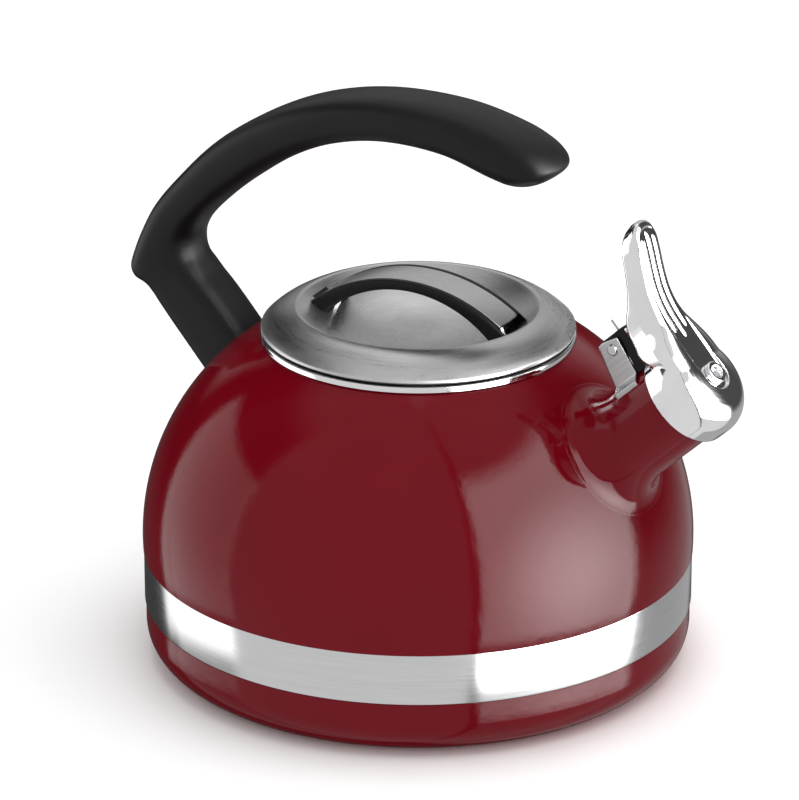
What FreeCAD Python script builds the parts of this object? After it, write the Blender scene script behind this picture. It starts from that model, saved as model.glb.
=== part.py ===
import FreeCAD, Part
import math
import os
import re
import Sketcher
from FreeCAD import Placement, Rotation, Vector

# Stovetop whistling kettle. Millimetres; +Z is up, +X points to the spout, and the origin is the
# centre of the base on the surface that the kettle stands on. The plane Y = 0 halves the kettle.

DIMENSIONS = [
    ("wall", 1.2, "enamelled steel sheet"),
    ("belly_height", 43.6, "height of the widest circle"),
    ("shoulder_offset", 12.69, "distance of the shoulder arc's centre from the axis"),
    ("shoulder_radius", 84.46, "radius of the shoulder arc"),
    ("seam_radius", 96.05, "outside of the dome's skirt behind the band"),
    ("seam_low", 22.5, "lower edge of the dome's skirt"),
    ("lip_radius", 53.8, "outside of the upright lip round the neck"),
    ("lip_top", 118.6, "top of that lip"),
    ("band_low", 21.0, "lower edge of the trim band"),
    ("band_top", 39.3, "upper edge of the trim band"),
    ("band_radius", 96.8, "outside of the trim band"),
    ("band_sheet", 0.7, "thickness of the trim band"),
    ("base_flat", 83.35, "radius of the flat bottom"),
    ("base_corner", 13.0, "radius of the bottom's rounded corner"),
    ("base_sheet", 1.6, "thickness of the bottom"),
    ("base_lap", 31.5, "top of the base pan inside the dome"),
    ("base_gap", 0.05, "running gap of the lapped seam"),
    ("rim_outer", 55.0, "outside of the neck ring"),
    ("rim_inner", 51.6, "inside of the neck ring"),
    ("rim_low", 117.5, "lower edge of the neck ring"),
    ("rim_top", 119.6, "top of the neck ring"),
    ("spout_lean", 47.0, "angle between the spout's axis and the vertical"),
    ("mouth_across", 106.0, "spout datum: distance from the kettle's axis"),
    ("mouth_height", 117.5, "spout datum: height"),
    ("tube_outer", 16.3, "outside radius of the spout"),
    ("tube_inner", 15.0, "bore radius of the spout"),
    ("tube_end", 2.0, "end of the spout past its datum"),
    ("tube_root", 60.0, "length of spout before it is trimmed to the dome"),
    ("flare_start", 26.0, "distance below the datum where the spout's root widens"),
    ("flare_depth", 20.0, "length of the widening root"),
    ("flare_radius", 40.0, "radius of the root's flare"),
    ("skirt_outer", 18.3, "outside radius of the spout cap"),
    ("skirt_inner", 17.5, "inside radius of the spout cap"),
    ("skirt_top", 6.0, "height of the cap's straight skirt"),
    ("cap_top", 16.0, "height of the cap"),
    ("cap_corner", 9.0, "radius of the cap's shoulder"),
    ("cap_crown", 51.4, "radius of the cap's crown"),
    ("hollow_crown", 150.0, "radius of the crown inside the cap"),
    ("pin_along", -7.7, "hinge pin: distance along the spout's axis"),
    ("pin_above", 26.5, "hinge pin: distance above the spout's axis"),
    ("pin_radius", 1.25, "radius of the hinge pin"),
    ("pin_clearance", 0.05, "radial running clearance on the hinge pin"),
    ("ear_inner", 7.0, "half the gap between the bracket's ears"),
    ("ear_sheet", 1.2, "thickness of the bracket's sheet"),
    ("saddle_half", 11.3, "half the width of the bracket's saddle"),
    ("block_narrow", 6.7, "half width of the hinge block between the ears"),
    ("block_wide", 8.1, "half width of the hinge block under the lever"),
    ("spring_slot", 3.2, "half width of the slot for the torsion spring"),
    ("spring_radius", 2.4, "mean radius of the torsion spring"),
    ("spring_wire", 0.7, "wire diameter of the torsion spring"),
    ("lid_sheet", 0.8, "thickness of the lid's sheet"),
    ("lid_radius", 54.8, "outside radius of the lid"),
    ("lid_edge", 120.6, "lower side of the lid's edge"),
    ("lid_crest_radius", 42.5, "radius of the lid's highest circle"),
    ("lid_crest", 128.9, "height of the lid's highest circle"),
    ("well_radius", 70.0, "radius of the bowl that forms the finger well"),
    ("well_depth", 14.0, "depth of the finger well"),
    ("plug_radius", 49.4, "outside radius of the lid's skirt"),
    ("plug_low", 106.0, "lower edge of the lid's skirt"),
    ("arch_top", 140.0, "top of the arch across the finger well"),
    ("arch_radius", 59.4, "radius of the arch's upper side"),
    ("arch_under", 136.5, "top of the finger opening under the arch"),
    ("arch_under_radius", 45.0, "radius of the arch's lower side"),
    ("arch_half", 9.4, "half the width of the arch"),
    ("inlay_half", 6.85, "half the width of the steel inlay"),
    ("inlay_reach", 34.7, "half the length of the steel inlay"),
    ("inlay_sheet", 0.8, "thickness of the steel inlay"),
    ("lid_turn", 5.0, "angle of the arch from the plane of the spout"),
    ("lid_screw_reach", 33.0, "distance of the lid's screws from the axis"),
    ("stem_lean", 42.1, "angle between the handle's stem and the vertical"),
    ("stem_across", -77.1, "place of the stem's foot on the dome, along X"),
    ("stem_height", 97.6, "place of the stem's foot on the dome, along Z"),
    ("stem_depth", 23.0, "depth of the stem in the plane of the spout"),
    ("stem_width", 21.0, "width of the stem"),
    ("stem_corner", 5.5, "corner radius of the stem"),
    ("stem_length", 40.0, "length of the stem up to the heel"),
    ("post_length", 34.0, "length of the steel post inside the stem"),
    ("post_depth", 8.0, "depth of the steel post"),
    ("post_width", 16.0, "width of the steel post"),
    ("strap_sheet", 2.5, "thickness of the steel strap inside the handle"),
    ("strap_width", 12.0, "width of that strap"),
]

# The handle from its stem to its tip, as cross-sections: outer point (X, Z), inner point (X, Z)
# and half the width.
GRIP_SECTIONS = [
    ((-107.6, 114.6), (-87.6, 125.6), 10.7),
    ((-110.3, 116.9), (-88.9, 127.2), 10.9),
    ((-112.9, 117.9), (-89.8, 128.4), 11.1),
    ((-115.1, 118.7), (-90.5, 129.5), 11.3),
    ((-116.7, 120.7), (-91.1, 130.8), 11.5),
    ((-117.0, 123.3), (-91.6, 132.3), 11.7),
    ((-115.6, 127.8), (-92.0, 134.6), 12.0),
    ((-112.2, 136.0), (-91.7, 138.0), 12.3),
    ((-105.6, 148.0), (-88.6, 143.4), 13.0),
    ((-94.0, 161.8), (-79.8, 152.4), 13.7),
    ((-79.0, 176.5), (-67.6, 162.5), 14.0),
    ((-58.2, 190.2), (-49.7, 174.8), 14.0),
    ((-37.0, 199.2), (-31.7, 183.1), 14.0),
    ((-11.8, 204.4), (-9.8, 188.0), 14.0),
    ((17.5, 204.7), (15.3, 187.6), 14.0),
    ((38.0, 200.9), (33.8, 183.0), 14.0),
    ((45.0, 198.6), (41.4, 181.8), 13.6),
    ((50.6, 196.0), (47.4, 182.5), 12.5),
    ((54.4, 193.2), (52.0, 184.4), 10.3),
    ((56.3, 191.0), (55.0, 186.6), 6.9),
    ((56.9, 189.6), (56.5, 188.2), 2.9),
]
STRAP_STATIONS = (11, 15)
GRIP_SQUARENESS = 2.7

# The lever as cross-sections: distance above the spout's axis, distance along it to the lever's
# upper side and to its back, half the width.
LEVER_SECTIONS = [
    (0.0, 15.2, 10.5, 13.0),
    (6.0, 15.3, 7.5, 13.6),
    (12.0, 15.4, 4.5, 13.9),
    (18.0, 15.5, 1.0, 12.6),
    (23.0, 15.7, 0.5, 10.2),
    (27.0, 16.2, 0.7, 9.2),
    (31.0, 17.1, 2.2, 8.6),
    (35.0, 18.5, 6.2, 8.1),
    (40.0, 20.9, 10.3, 7.7),
    (45.0, 23.6, 13.6, 7.6),
    (50.0, 26.0, 16.6, 7.3),
    (53.0, 26.9, 18.6, 6.2),
    (55.2, 26.9, 20.9, 4.2),
    (56.4, 25.8, 23.2, 1.5),
]
LEVER_SQUARENESS = 3.0
# The pad under the lever that meets the hinge block: distance along the spout's axis, above it.
LEVER_PAD = [(0.5, 18.2), (0.5, 30.2), (5.0, 31.0), (5.0, 18.2)]
# The middle rib on the lever: distance along the spout's axis, distance above it.
RIB_ROUTE = [(15.9, 25.0), (17.9, 33.5), (22.4, 43.0), (24.5, 47.0)]

# The bracket's ear: distance along the spout's axis, distance above it.
EAR_OUTLINE = [
    (-16.1, 13.5), (-16.1, 16.4), (-12.2, 30.2), (-10.0, 30.6), (-3.5, 29.1), (-5.4, 15.3),
    (-5.4, 13.5),
]

# The hinge block, as (along the spout's axis, above it): its knuckle between the ears, its shank
# under the lever, and the room for the torsion spring.
KNUCKLE_OUTLINE = [(-12.4, 21.8), (-12.4, 30.9), (0.5, 30.9), (0.5, 21.8)]
SHANK_OUTLINE = [(-4.85, 14.0), (-2.95, 30.9), (0.5, 30.9), (0.5, 14.0)]
SPRING_ROOM = [(-13.0, 17.0), (-13.0, 32.0), (-3.6, 32.0), (-3.6, 17.0)]
EAR_SWING_RADIUS = 5.4

RIVET_STATIONS = (-13.6, -7.6)
RIVET_SHANK = 1.5
STEM_SCREW_HEIGHTS = (12.0, 26.0)
RIB_OFFSETS = {-3.6: 1.5, 0.0: 0.0, 3.6: 1.5}

doc = FreeCAD.newDocument("Kettle")
sheet = doc.addObject("Spreadsheet::Sheet", "Sizes")
ALIASES = {alias for alias, _, _ in DIMENSIONS}
finished = []


def fill_sheet():
    for row, (alias, number, note) in enumerate(DIMENSIONS, start=1):
        sheet.set(f"A{row}", note)
        sheet.set(f"B{row}", str(number))
        sheet.setAlias(f"B{row}", alias)
    doc.recompute()


def bound(formula):
    """A formula in sheet names, as a FreeCAD expression."""
    def full(match):
        name = match.group()
        return f"Sizes.{name}" if name in ALIASES else name
    return re.sub(r"[a-z_]+", full, str(formula))


def size(formula):
    """The number that a formula in sheet names gives."""
    return float(sheet.evalExpression(bound(formula)))


def keep(piece, label):
    """Mark an object as a finished sub-part."""
    piece.Label = label
    finished.append(piece)
    return piece


def feature(name, shape, placement=None):
    """A Part::Feature that holds a ready shape."""
    piece = doc.addObject("Part::Feature", name)
    piece.Shape = shape
    if placement is not None:
        piece.Placement = placement.multiply(piece.Placement)
    return piece


def spout_frame():
    """Frame with its Z along the spout's axis and its X pointing below the spout."""
    place = Vector(size("mouth_across"), 0, size("mouth_height"))
    return Placement(place, Rotation(Vector(0, 1, 0), size("spout_lean")))


def stem_frame():
    """Frame with its Z up along the handle's stem and its X towards the lid."""
    place = Vector(size("stem_across"), 0, size("stem_height"))
    return Placement(place, Rotation(Vector(0, 1, 0), -size("stem_lean")))


def lid_frame():
    return Placement(Vector(0, 0, 0), Rotation(Vector(0, 0, 1), size("lid_turn")))


def arc_centre(first, last, radius):
    """Centre of the short arc between two points; a positive radius puts it on the left."""
    middle = (first + last) * 0.5
    chord = last - first
    left = Vector(-chord.y, chord.x, 0).normalize()
    rise = math.sqrt(radius ** 2 - (chord.Length / 2) ** 2)
    return middle + left * math.copysign(rise, radius)


def add_edge(sketch, first, last, radius):
    """Add a line or an arc. Returns its index and which of its ends comes first and last."""
    if radius is None:
        return sketch.addGeometry(Part.LineSegment(first, last)), 1, 2
    centre = arc_centre(first, last, radius)
    angles = [math.atan2(point.y - centre.y, point.x - centre.x) for point in (first, last)]
    if radius < 0:
        angles.reverse()
    circle = Part.Circle(centre, Vector(0, 0, 1), abs(radius))
    index = sketch.addGeometry(Part.ArcOfCircle(circle, *angles))
    return (index, 1, 2) if radius > 0 else (index, 2, 1)


def pin_point(sketch, index, end, across, up):
    """Tie a vertex to the origin by two formulas."""
    for kind, axis, formula in (("DistanceX", -2, across), ("DistanceY", -1, up)):
        if str(formula) == "0":
            sketch.addConstraint(Sketcher.Constraint("PointOnObject", index, end, axis))
            continue
        row = sketch.addConstraint(Sketcher.Constraint(kind, -1, 1, index, end, size(formula)))
        sketch.setExpression(f"Constraints[{row}]", bound(formula))


def draw_outline(sketch, outline):
    """Closed outline of (across, up) or (across, up, radius of the arc to the next point)."""
    points = [Vector(size(item[0]), size(item[1]), 0) for item in outline]
    edges = []
    for place, item in enumerate(outline):
        radius = size(item[2]) if len(item) > 2 else None
        following = points[(place + 1) % len(points)]
        edges.append(add_edge(sketch, points[place], following, radius))
    for place, (item, (index, first, last)) in enumerate(zip(outline, edges)):
        next_index, next_first, _ = edges[(place + 1) % len(edges)]
        sketch.addConstraint(Sketcher.Constraint("Coincident", index, last, next_index, next_first))
        pin_point(sketch, index, first, item[0], item[1])
        if len(item) > 2:
            row = sketch.addConstraint(Sketcher.Constraint("Radius", index, abs(size(item[2]))))
            sketch.setExpression(f"Constraints[{row}]", bound(f"abs({item[2]})"))


def turned(name, outline, placement=None, angle=360):
    """PartDesign body: an outline of radius and height, turned about Z."""
    body = doc.addObject("PartDesign::Body", name)
    plane = next(item for item in body.Origin.OriginFeatures if item.Role == "XZ_Plane")
    sketch = body.newObject("Sketcher::SketchObject", f"{name}_outline")
    sketch.AttachmentSupport = [(plane, "")]
    sketch.MapMode = "FlatFace"
    draw_outline(sketch, outline)
    turn = body.newObject("PartDesign::Revolution", f"{name}_turn")
    turn.Profile = sketch
    turn.ReferenceAxis = (sketch, ["V_Axis"])
    turn.Angle = angle
    if placement is not None:
        body.Placement = placement
    return body


def drum(name, radius, low, high, placement):
    """Cylinder along its frame's Z, between two heights given as formulas."""
    piece = doc.addObject("Part::Cylinder", name)
    piece.setExpression("Radius", bound(radius))
    piece.setExpression("Height", bound(f"({high}) - ({low})"))
    piece.Placement = placement.multiply(Placement(Vector(0, 0, size(low)), Rotation()))
    return piece


def cut(name, base, tool):
    piece = doc.addObject("Part::Cut", name)
    piece.Base = base
    piece.Tool = tool
    return piece


def fuse(name, pieces):
    piece = doc.addObject("Part::MultiFuse", name)
    piece.Shapes = pieces
    return piece


def across_y(centre_along, centre_above, radius, half):
    """Cylinder shape parallel to Y in the spout's frame."""
    start = Vector(-centre_above, -half, centre_along)
    return Part.makeCylinder(radius, 2 * half, start, Vector(0, 1, 0))


def plate(outline, low, high):
    """Prism shape in the spout's frame from (along, above) points, between two values of Y."""
    points = [Vector(-above, low, along) for along, above in outline]
    face = Part.Face(Part.makePolygon(points + points[:1]))
    return face.extrude(Vector(0, high - low, 0))


def screw(head_radius, head_height, shank_radius, length):
    """Pan-head screw shape along +Z with the underside of its head at the origin."""
    head = Part.makeCylinder(head_radius, head_height, Vector(0, 0, -head_height))
    head = head.makeFillet(head_height * 0.45, [head.Edges[2]])
    return head.fuse(Part.makeCylinder(shank_radius, length)).removeSplitter()


def washer(outer, inner, height):
    return Part.makeCylinder(outer, height).cut(Part.makeCylinder(inner, height))


def copies(shape, placements):
    """Compound of a shape at several placements."""
    return Part.makeCompound([shape.transformGeometry(item.toMatrix()) for item in placements])


# ---- pot -------------------------------------------------------------------------------------

def shoulder(height, inset="0"):
    """Formula of the dome's radius at a height, measured inset into the sheet."""
    return f"shoulder_offset + sqrt((shoulder_radius - {inset})^2 - ({height} - belly_height)^2)"


def neck_height(radius, inset="0"):
    """Formula of the dome's height at a radius."""
    return f"belly_height + sqrt((shoulder_radius - {inset})^2 - ({radius} - shoulder_offset)^2)"


def dome_solid():
    """The space that the dome's outside encloses, used to trim what stands on it."""
    return turned("dome_space", [
        ("0", "band_low"),
        ("seam_radius", "band_low"),
        ("seam_radius", "band_top"),
        (shoulder("band_top"), "band_top", "shoulder_radius"),
        ("lip_radius + 0.5", neck_height("lip_radius + 0.5")),
        ("0", neck_height("lip_radius + 0.5")),
    ])


def make_body_shell():
    inner_lip = "lip_radius - wall"
    blank = turned("shell_blank", [
        ("seam_radius - wall", "seam_low"),
        ("seam_radius", "seam_low"),
        ("seam_radius", "band_top"),
        (shoulder("band_top"), "band_top", "shoulder_radius"),
        ("lip_radius + 0.5", neck_height("lip_radius + 0.5")),
        ("lip_radius", "rim_low - 0.1"),
        ("lip_radius", "lip_top"),
        (inner_lip, "lip_top"),
        (inner_lip, neck_height(inner_lip, "wall"), "wall - shoulder_radius"),
        (shoulder("band_top", "wall"), "band_top"),
        ("seam_radius - wall", "band_top - wall"),
    ])
    bore = drum("spout_bore", "tube_inner", "0 - tube_root", "0", spout_frame())
    return keep(cut("body_shell_cut", blank, bore), "body_shell")


def make_base_pan():
    skirt = "seam_radius - wall - base_gap"
    side = "base_flat + base_corner"
    return keep(turned("base_pan_body", [
        ("0", "0"),
        ("base_flat", "0", "base_corner"),
        (side, "base_corner"),
        (side, "band_low - 0.2"),
        (skirt, "band_low"),
        (skirt, "base_lap"),
        (f"{skirt} - wall", "base_lap"),
        (f"{skirt} - wall", "base_corner", "base_sheet - base_corner"),
        (f"{skirt} - wall - (base_corner - base_sheet)", "base_sheet"),
        ("0", "base_sheet"),
    ]), "base_pan")


def make_trim_band():
    edge = "0.25"
    return keep(turned("trim_band_body", [
        ("band_radius - band_sheet", "band_low"),
        (f"band_radius - {edge}", "band_low"),
        ("band_radius", f"band_low + {edge}"),
        ("band_radius", f"band_top - base_gap - {edge}"),
        (f"band_radius - {edge}", "band_top - base_gap"),
        ("band_radius - band_sheet", "band_top - base_gap"),
    ]), "trim_band")


def make_neck_rim():
    bead = "0.6"
    return keep(turned("neck_rim_body", [
        ("rim_outer", "rim_low"),
        ("rim_outer", f"rim_top - {bead}", bead),
        (f"rim_outer - {bead}", "rim_top"),
        (f"rim_inner + {bead}", "rim_top", bead),
        ("rim_inner", f"rim_top - {bead}"),
        ("rim_inner", "rim_low - 0.3"),
        ("lip_radius - wall - base_gap", "rim_low - 0.3"),
        ("lip_radius - wall - base_gap", "lip_top + base_gap"),
        ("lip_radius + base_gap", "lip_top + base_gap"),
        ("lip_radius + base_gap", "rim_low"),
    ]), "neck_rim")


def make_spout_tube(dome):
    flare_end = "flare_start + flare_depth"
    wide = "tube_outer + flare_radius - sqrt(flare_radius^2 - flare_depth^2)"
    blank = turned("spout_blank", [
        ("tube_inner", "0 - tube_root"),
        (wide, "0 - tube_root"),
        (wide, f"0 - ({flare_end})", "0 - flare_radius"),
        ("tube_outer", "0 - flare_start"),
        ("tube_outer", "tube_end"),
        ("tube_inner", "tube_end"),
    ], spout_frame())
    return cut("spout_tube_trimmed", blank, dome)


def make_spout_rim():
    lap = "0.2"
    bead = "0.4"
    outer = "tube_outer + 0.5"
    inner = "tube_inner - 0.5"
    top = "tube_end + 0.6"
    return keep(turned("spout_rim_body", [
        ("tube_outer", lap),
        (outer, lap),
        (outer, f"{top} - {bead}", bead),
        (f"{outer} - {bead}", top),
        (f"{inner} + {bead}", top, bead),
        (inner, f"{top} - {bead}"),
        (inner, lap),
        ("tube_inner", lap),
        ("tube_inner", "tube_end"),
        ("tube_outer", "tube_end"),
    ], spout_frame()), "spout_rim")


# ---- handle ----------------------------------------------------------------------------------

def oval_wire(outer, inner, half_width, squareness):
    """Closed smooth section between an outer and an inner point; its width lies along Y."""
    middle = (outer + inner) * 0.5
    reach = (outer - inner) * 0.5
    count = 20
    power = 2.0 / squareness
    points = []
    for step in range(count):
        angle = 2 * math.pi * step / count
        deep = math.copysign(abs(math.cos(angle)) ** power, math.cos(angle))
        wide = math.copysign(abs(math.sin(angle)) ** power, math.sin(angle))
        points.append(middle + reach * deep + Vector(0, wide * half_width, 0))
    curve = Part.BSplineCurve()
    curve.interpolate(points, PeriodicFlag=True)
    return Part.Wire(curve.toShape())


def stem_block(depth, width, low, high, corner=None):
    """Prism along the stem with its axis on the stem's axis, in the stem's frame."""
    block = Part.makeBox(depth, width, high - low, Vector(-depth / 2, -width / 2, low))
    if corner is None:
        return block
    upright = [edge for edge in block.Edges if abs(edge.tangentAt(edge.FirstParameter).z) > 0.9]
    return block.makeFillet(corner, upright)


def placed(shape, placement):
    return shape.transformGeometry(placement.toMatrix())


def strap_shape():
    """Steel strap: straight up the stem, then along the middle of the grip."""
    half = size("strap_width") / 2
    thick = size("strap_sheet")
    near = -size("post_depth") / 2
    foot, bend = 4.0, 36.0
    upright = Part.makeBox(thick, 2 * half, bend + thick / 2 - foot, Vector(near - thick, -half, foot))
    upright = placed(upright, stem_frame())
    stations = [GRIP_SECTIONS[index] for index in STRAP_STATIONS]
    middles = [Vector((up[0] + down[0]) / 2, 0, (up[1] + down[1]) / 2) for up, down, _ in stations]
    middles.insert(0, stem_frame().multVec(Vector(near - thick / 2, 0, bend)))
    circle = Part.Arc(*middles).toShape().Curve
    centre = circle.Center
    outer = [centre + (point - centre) * (1 + thick / 2 / circle.Radius) for point in middles]
    inner = [centre + (point - centre) * (1 - thick / 2 / circle.Radius) for point in middles]
    edges = [
        Part.Arc(*outer).toShape(),
        Part.LineSegment(outer[2], inner[2]).toShape(),
        Part.Arc(*reversed(inner)).toShape(),
        Part.LineSegment(inner[0], outer[0]).toShape(),
    ]
    face = Part.Face(Part.Wire(Part.__sortEdges__(edges)))
    face.translate(Vector(0, -half, 0))
    band = face.extrude(Vector(0, 2 * half, 0))
    return upright.fuse(band).removeSplitter()


def stem_screw_places():
    """Frames of the two stem screws: Z points into the stem, the origin is under the head."""
    seat = -size("stem_depth") / 2 + 3.2
    turn = Rotation(Vector(0, 1, 0), 90)
    return [stem_frame().multiply(Placement(Vector(seat, 0, up), turn)) for up in STEM_SCREW_HEIGHTS]


def make_handle(dome):
    stem = stem_block(
        size("stem_depth"), size("stem_width"), -22.0, size("stem_length"), size("stem_corner"))
    stem = placed(stem, stem_frame())
    wires = []
    for (outer_x, outer_z), (inner_x, inner_z), half in GRIP_SECTIONS:
        outer, inner = Vector(outer_x, 0, outer_z), Vector(inner_x, 0, inner_z)
        wires.append(oval_wire(outer, inner, half, GRIP_SQUARENESS))
    grip = Part.makeLoft(wires, True)
    post = stem_block(size("post_depth"), size("post_width"), -14.0, size("post_length"))
    post = placed(post, stem_frame())
    strap = strap_shape()
    heads = copies(Part.makeCylinder(4.2, 9.0, Vector(0, 0, -9.0)), stem_screw_places())
    holes = copies(Part.makeCylinder(2.0, 12.0), stem_screw_places())
    moulding = stem.fuse(grip).cut(dome.Shape).cut(post).cut(strap).cut(heads).cut(holes)
    moulding = max(moulding.Solids, key=lambda item: item.Volume)
    keep(feature("handle_grip_shape", moulding), "handle_grip")
    keep(feature("handle_core_shape", strap.cut(holes)), "handle_core")
    keep(feature("handle_bracket_shape", post.cut(dome.Shape).cut(holes)), "handle_bracket")


def make_stem_fasteners():
    disc = washer(4.0, 2.05, 0.6)
    disc.translate(Vector(0, 0, -0.6))
    shape = screw(3.6, 1.9, 2.0, 11.4)
    shape.translate(Vector(0, 0, -0.6))
    keep(feature("handle_screw_pair", copies(shape, stem_screw_places())), "handle_screws")
    keep(feature("handle_washer_pair", copies(disc, stem_screw_places())), "handle_washers")


# ---- spout hinge -----------------------------------------------------------------------------

def make_spout_bracket():
    inner = size("ear_inner")
    sheet_thickness = size("ear_sheet")
    tube = size("tube_outer")
    low, high = EAR_OUTLINE[0][0], EAR_OUTLINE[-1][0]
    near = plate(EAR_OUTLINE, -inner - sheet_thickness, -inner)
    far = plate(EAR_OUTLINE, inner, inner + sheet_thickness)
    saddle = Part.makeCylinder(tube + sheet_thickness, high - low, Vector(0, 0, low))
    half = size("saddle_half")
    saddle = saddle.common(Part.makeBox(30, 2 * half, 40, Vector(-30, -half, -30)))
    shape = near.fuse([far, saddle]).cut(Part.makeCylinder(tube, 60, Vector(0, 0, -40)))
    shape = shape.cut(across_y(size("pin_along"), size("pin_above"), size("pin_radius"), 12))
    for along in RIVET_STATIONS:
        shape = shape.cut(Part.makeCylinder(RIVET_SHANK, 30, Vector(0, 0, along), Vector(-1, 0, 0)))
    shape = shape.removeSplitter()
    return keep(feature("spout_bracket_shape", shape, spout_frame()), "spout_bracket")


def rivet_shape(along):
    """Rivet through saddle and spout wall: flat head outside, closed head inside."""
    outside = size("tube_outer + ear_sheet")
    inside = size("tube_inner")
    towards = Vector(-1, 0, 0)
    shank_start = Vector(-inside + 0.7, 0, along)
    shank = Part.makeCylinder(RIVET_SHANK, outside - inside + 1.4, shank_start, towards)
    head = Part.makeCylinder(2.8, 1.3, Vector(-outside + 0.4, 0, along), towards)
    tail = Part.makeCylinder(2.4, 1.3, Vector(-inside + 0.9, 0, along), towards)
    wall = Part.makeCylinder(outside, 12, Vector(0, 0, along - 6))
    wall = wall.cut(Part.makeCylinder(inside, 12, Vector(0, 0, along - 6)))
    return shank.fuse([head.cut(wall), tail.cut(wall)]).removeSplitter()


def make_bracket_rivets():
    shape = Part.makeCompound([rivet_shape(along) for along in RIVET_STATIONS])
    keep(feature("bracket_rivet_pair", shape, spout_frame()), "bracket_rivets")


def drill_for_rivets(tube):
    """Rivet holes in the spout's wall."""
    tools = []
    for number, along in enumerate(RIVET_STATIONS):
        hole = doc.addObject("Part::Cylinder", f"rivet_hole_{number}")
        hole.Radius = RIVET_SHANK
        hole.setExpression("Height", bound("tube_outer + 2"))
        turn = Rotation(Vector(0, 1, 0), -90)
        hole.Placement = spout_frame().multiply(Placement(Vector(-5, 0, along), turn))
        tools.append(hole)
    return keep(cut("spout_tube_drilled", tube, fuse("rivet_holes", tools)), "spout_tube")


def make_hinge_pin():
    """Headed pin, peened at its far end."""
    reach = size("ear_inner + ear_sheet")
    along, above, radius = size("pin_along"), size("pin_above"), size("pin_radius")
    shape = across_y(along, above, radius, reach + 0.5)
    for side in (-1, 1):
        start = Vector(-above, side * reach, along)
        head = Part.makeCone(radius * 1.75, radius * 1.3, 1.0, start, Vector(0, side, 0))
        shape = shape.fuse(head)
    return keep(feature("hinge_pin_shape", shape.removeSplitter(), spout_frame()), "hinge_pin")


def make_hinge_block():
    along, above = size("pin_along"), size("pin_above")
    narrow, wide = size("block_narrow"), size("block_wide")
    knuckle = plate(KNUCKLE_OUTLINE, -narrow, narrow)
    shank = plate(SHANK_OUTLINE, -wide, wide)
    swing = across_y(along, above, EAR_SWING_RADIUS, 12)
    swing = swing.cut(across_y(along, above, EAR_SWING_RADIUS, narrow))
    slot = size("spring_slot")
    spring_room = plate(SPRING_ROOM, -slot, slot)
    tube_room = Part.makeCylinder(size("tube_outer + 0.7"), 40, Vector(0, 0, -40))
    skirt_room = Part.makeCylinder(size("skirt_outer + 0.02"), 5, Vector(0, 0, -0.15))
    bore = across_y(along, above, size("pin_radius + pin_clearance"), 12)
    shape = knuckle.fuse(shank.cut(swing)).cut(spring_room).cut(bore)
    shape = shape.cut(tube_room).cut(skirt_room).cut(block_screw_room())
    return keep(feature("hinge_block_shape", shape.removeSplitter(), spout_frame()), "hinge_block")


def block_screw_places():
    """Frames of the two block screws in the spout's frame, with Z along the spout's axis."""
    return [Placement(Vector(-19.4, side * 4.9, -3.1), Rotation()) for side in (-1, 1)]


def block_screw_room():
    head = Part.makeCylinder(2.0, 6.0, Vector(0, 0, -6.0))
    hole = Part.makeCylinder(1.1, 9.0)
    return copies(head.fuse(hole), block_screw_places())


def make_block_screws():
    shape = copies(screw(1.9, 1.1, 1.1, 8.6), block_screw_places())
    keep(feature("block_screw_pair", shape, spout_frame()), "block_screws")


def make_torsion_spring():
    """Coil round the hinge pin; one leg rests on the saddle, the other on the block."""
    radius, wire = size("spring_radius"), size("spring_wire")
    pitch = wire * 1.15
    turns = 5
    helix = Part.makeHelix(pitch, pitch * turns, radius)
    start = Vector(radius, 0, 0)
    ring = Part.Wire(Part.makeCircle(wire / 2, start, Vector(0, 1, 0)))
    coil = Part.Wire(helix).makePipeShell([ring], True, True)
    lower_leg = size("pin_above - tube_outer - ear_sheet") - 0.3
    down = Part.makeCylinder(wire / 2, lower_leg, start, Vector(0, -1, 0))
    end = Vector(radius, 0, pitch * turns)
    upper_leg = 2.4
    up = Part.makeCylinder(wire / 2, upper_leg, end, Vector(0, 1, 0))
    shape = coil.fuse([down, up])
    lay = Placement(Vector(0, 0, -pitch * turns / 2), Rotation())
    towards = Rotation(Vector(0, 0, 1), Vector(-1, 0, 0), Vector(0, 1, 0), "ZXY")
    place = Placement(Vector(-size("pin_above"), 0, size("pin_along")), towards)
    shape = shape.transformGeometry(place.multiply(lay).toMatrix())
    return keep(feature("torsion_spring_shape", shape, spout_frame()), "torsion_spring")


# ---- spout cap -------------------------------------------------------------------------------

def crown_outline(outer):
    """Cap outside, or the hollow inside it, as radius and height."""
    if outer:
        edge_radius, edge_height = "skirt_outer", "skirt_top"
        corner, crown, top = "cap_corner", "cap_crown", "cap_top"
    else:
        edge_radius, edge_height = "skirt_inner - 1.1", "skirt_top + 1.2"
        corner, crown, top = "cap_corner - 3.0", "hollow_crown", "cap_top - 2.6"
    steep = math.radians(72)
    knee_radius = f"{edge_radius} - ({corner}) * {1 - math.cos(steep):.6f}"
    knee_height = f"{edge_height} + ({corner}) * {math.sin(steep):.6f}"
    start = [("0", "0"), (edge_radius, "0")]
    if not outer:
        start = [("0", "-1"), ("skirt_inner", "-1"), ("skirt_inner", "skirt_top + 0.95")]
    return start + [
        (edge_radius, edge_height, corner),
        (knee_radius, knee_height, crown),
        ("0", top),
    ]


def lever_shape():
    """Thumb lever through its cross-sections, with the pad that meets the hinge block."""
    wires = []
    for above, top, back, half in LEVER_SECTIONS:
        outer, inner = Vector(-above, 0, top), Vector(-above, 0, back)
        wires.append(oval_wire(outer, inner, half, LEVER_SQUARENESS))
    pad = plate(LEVER_PAD, -size("block_wide"), size("block_wide"))
    return Part.makeLoft(wires, True).fuse(pad)


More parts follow.
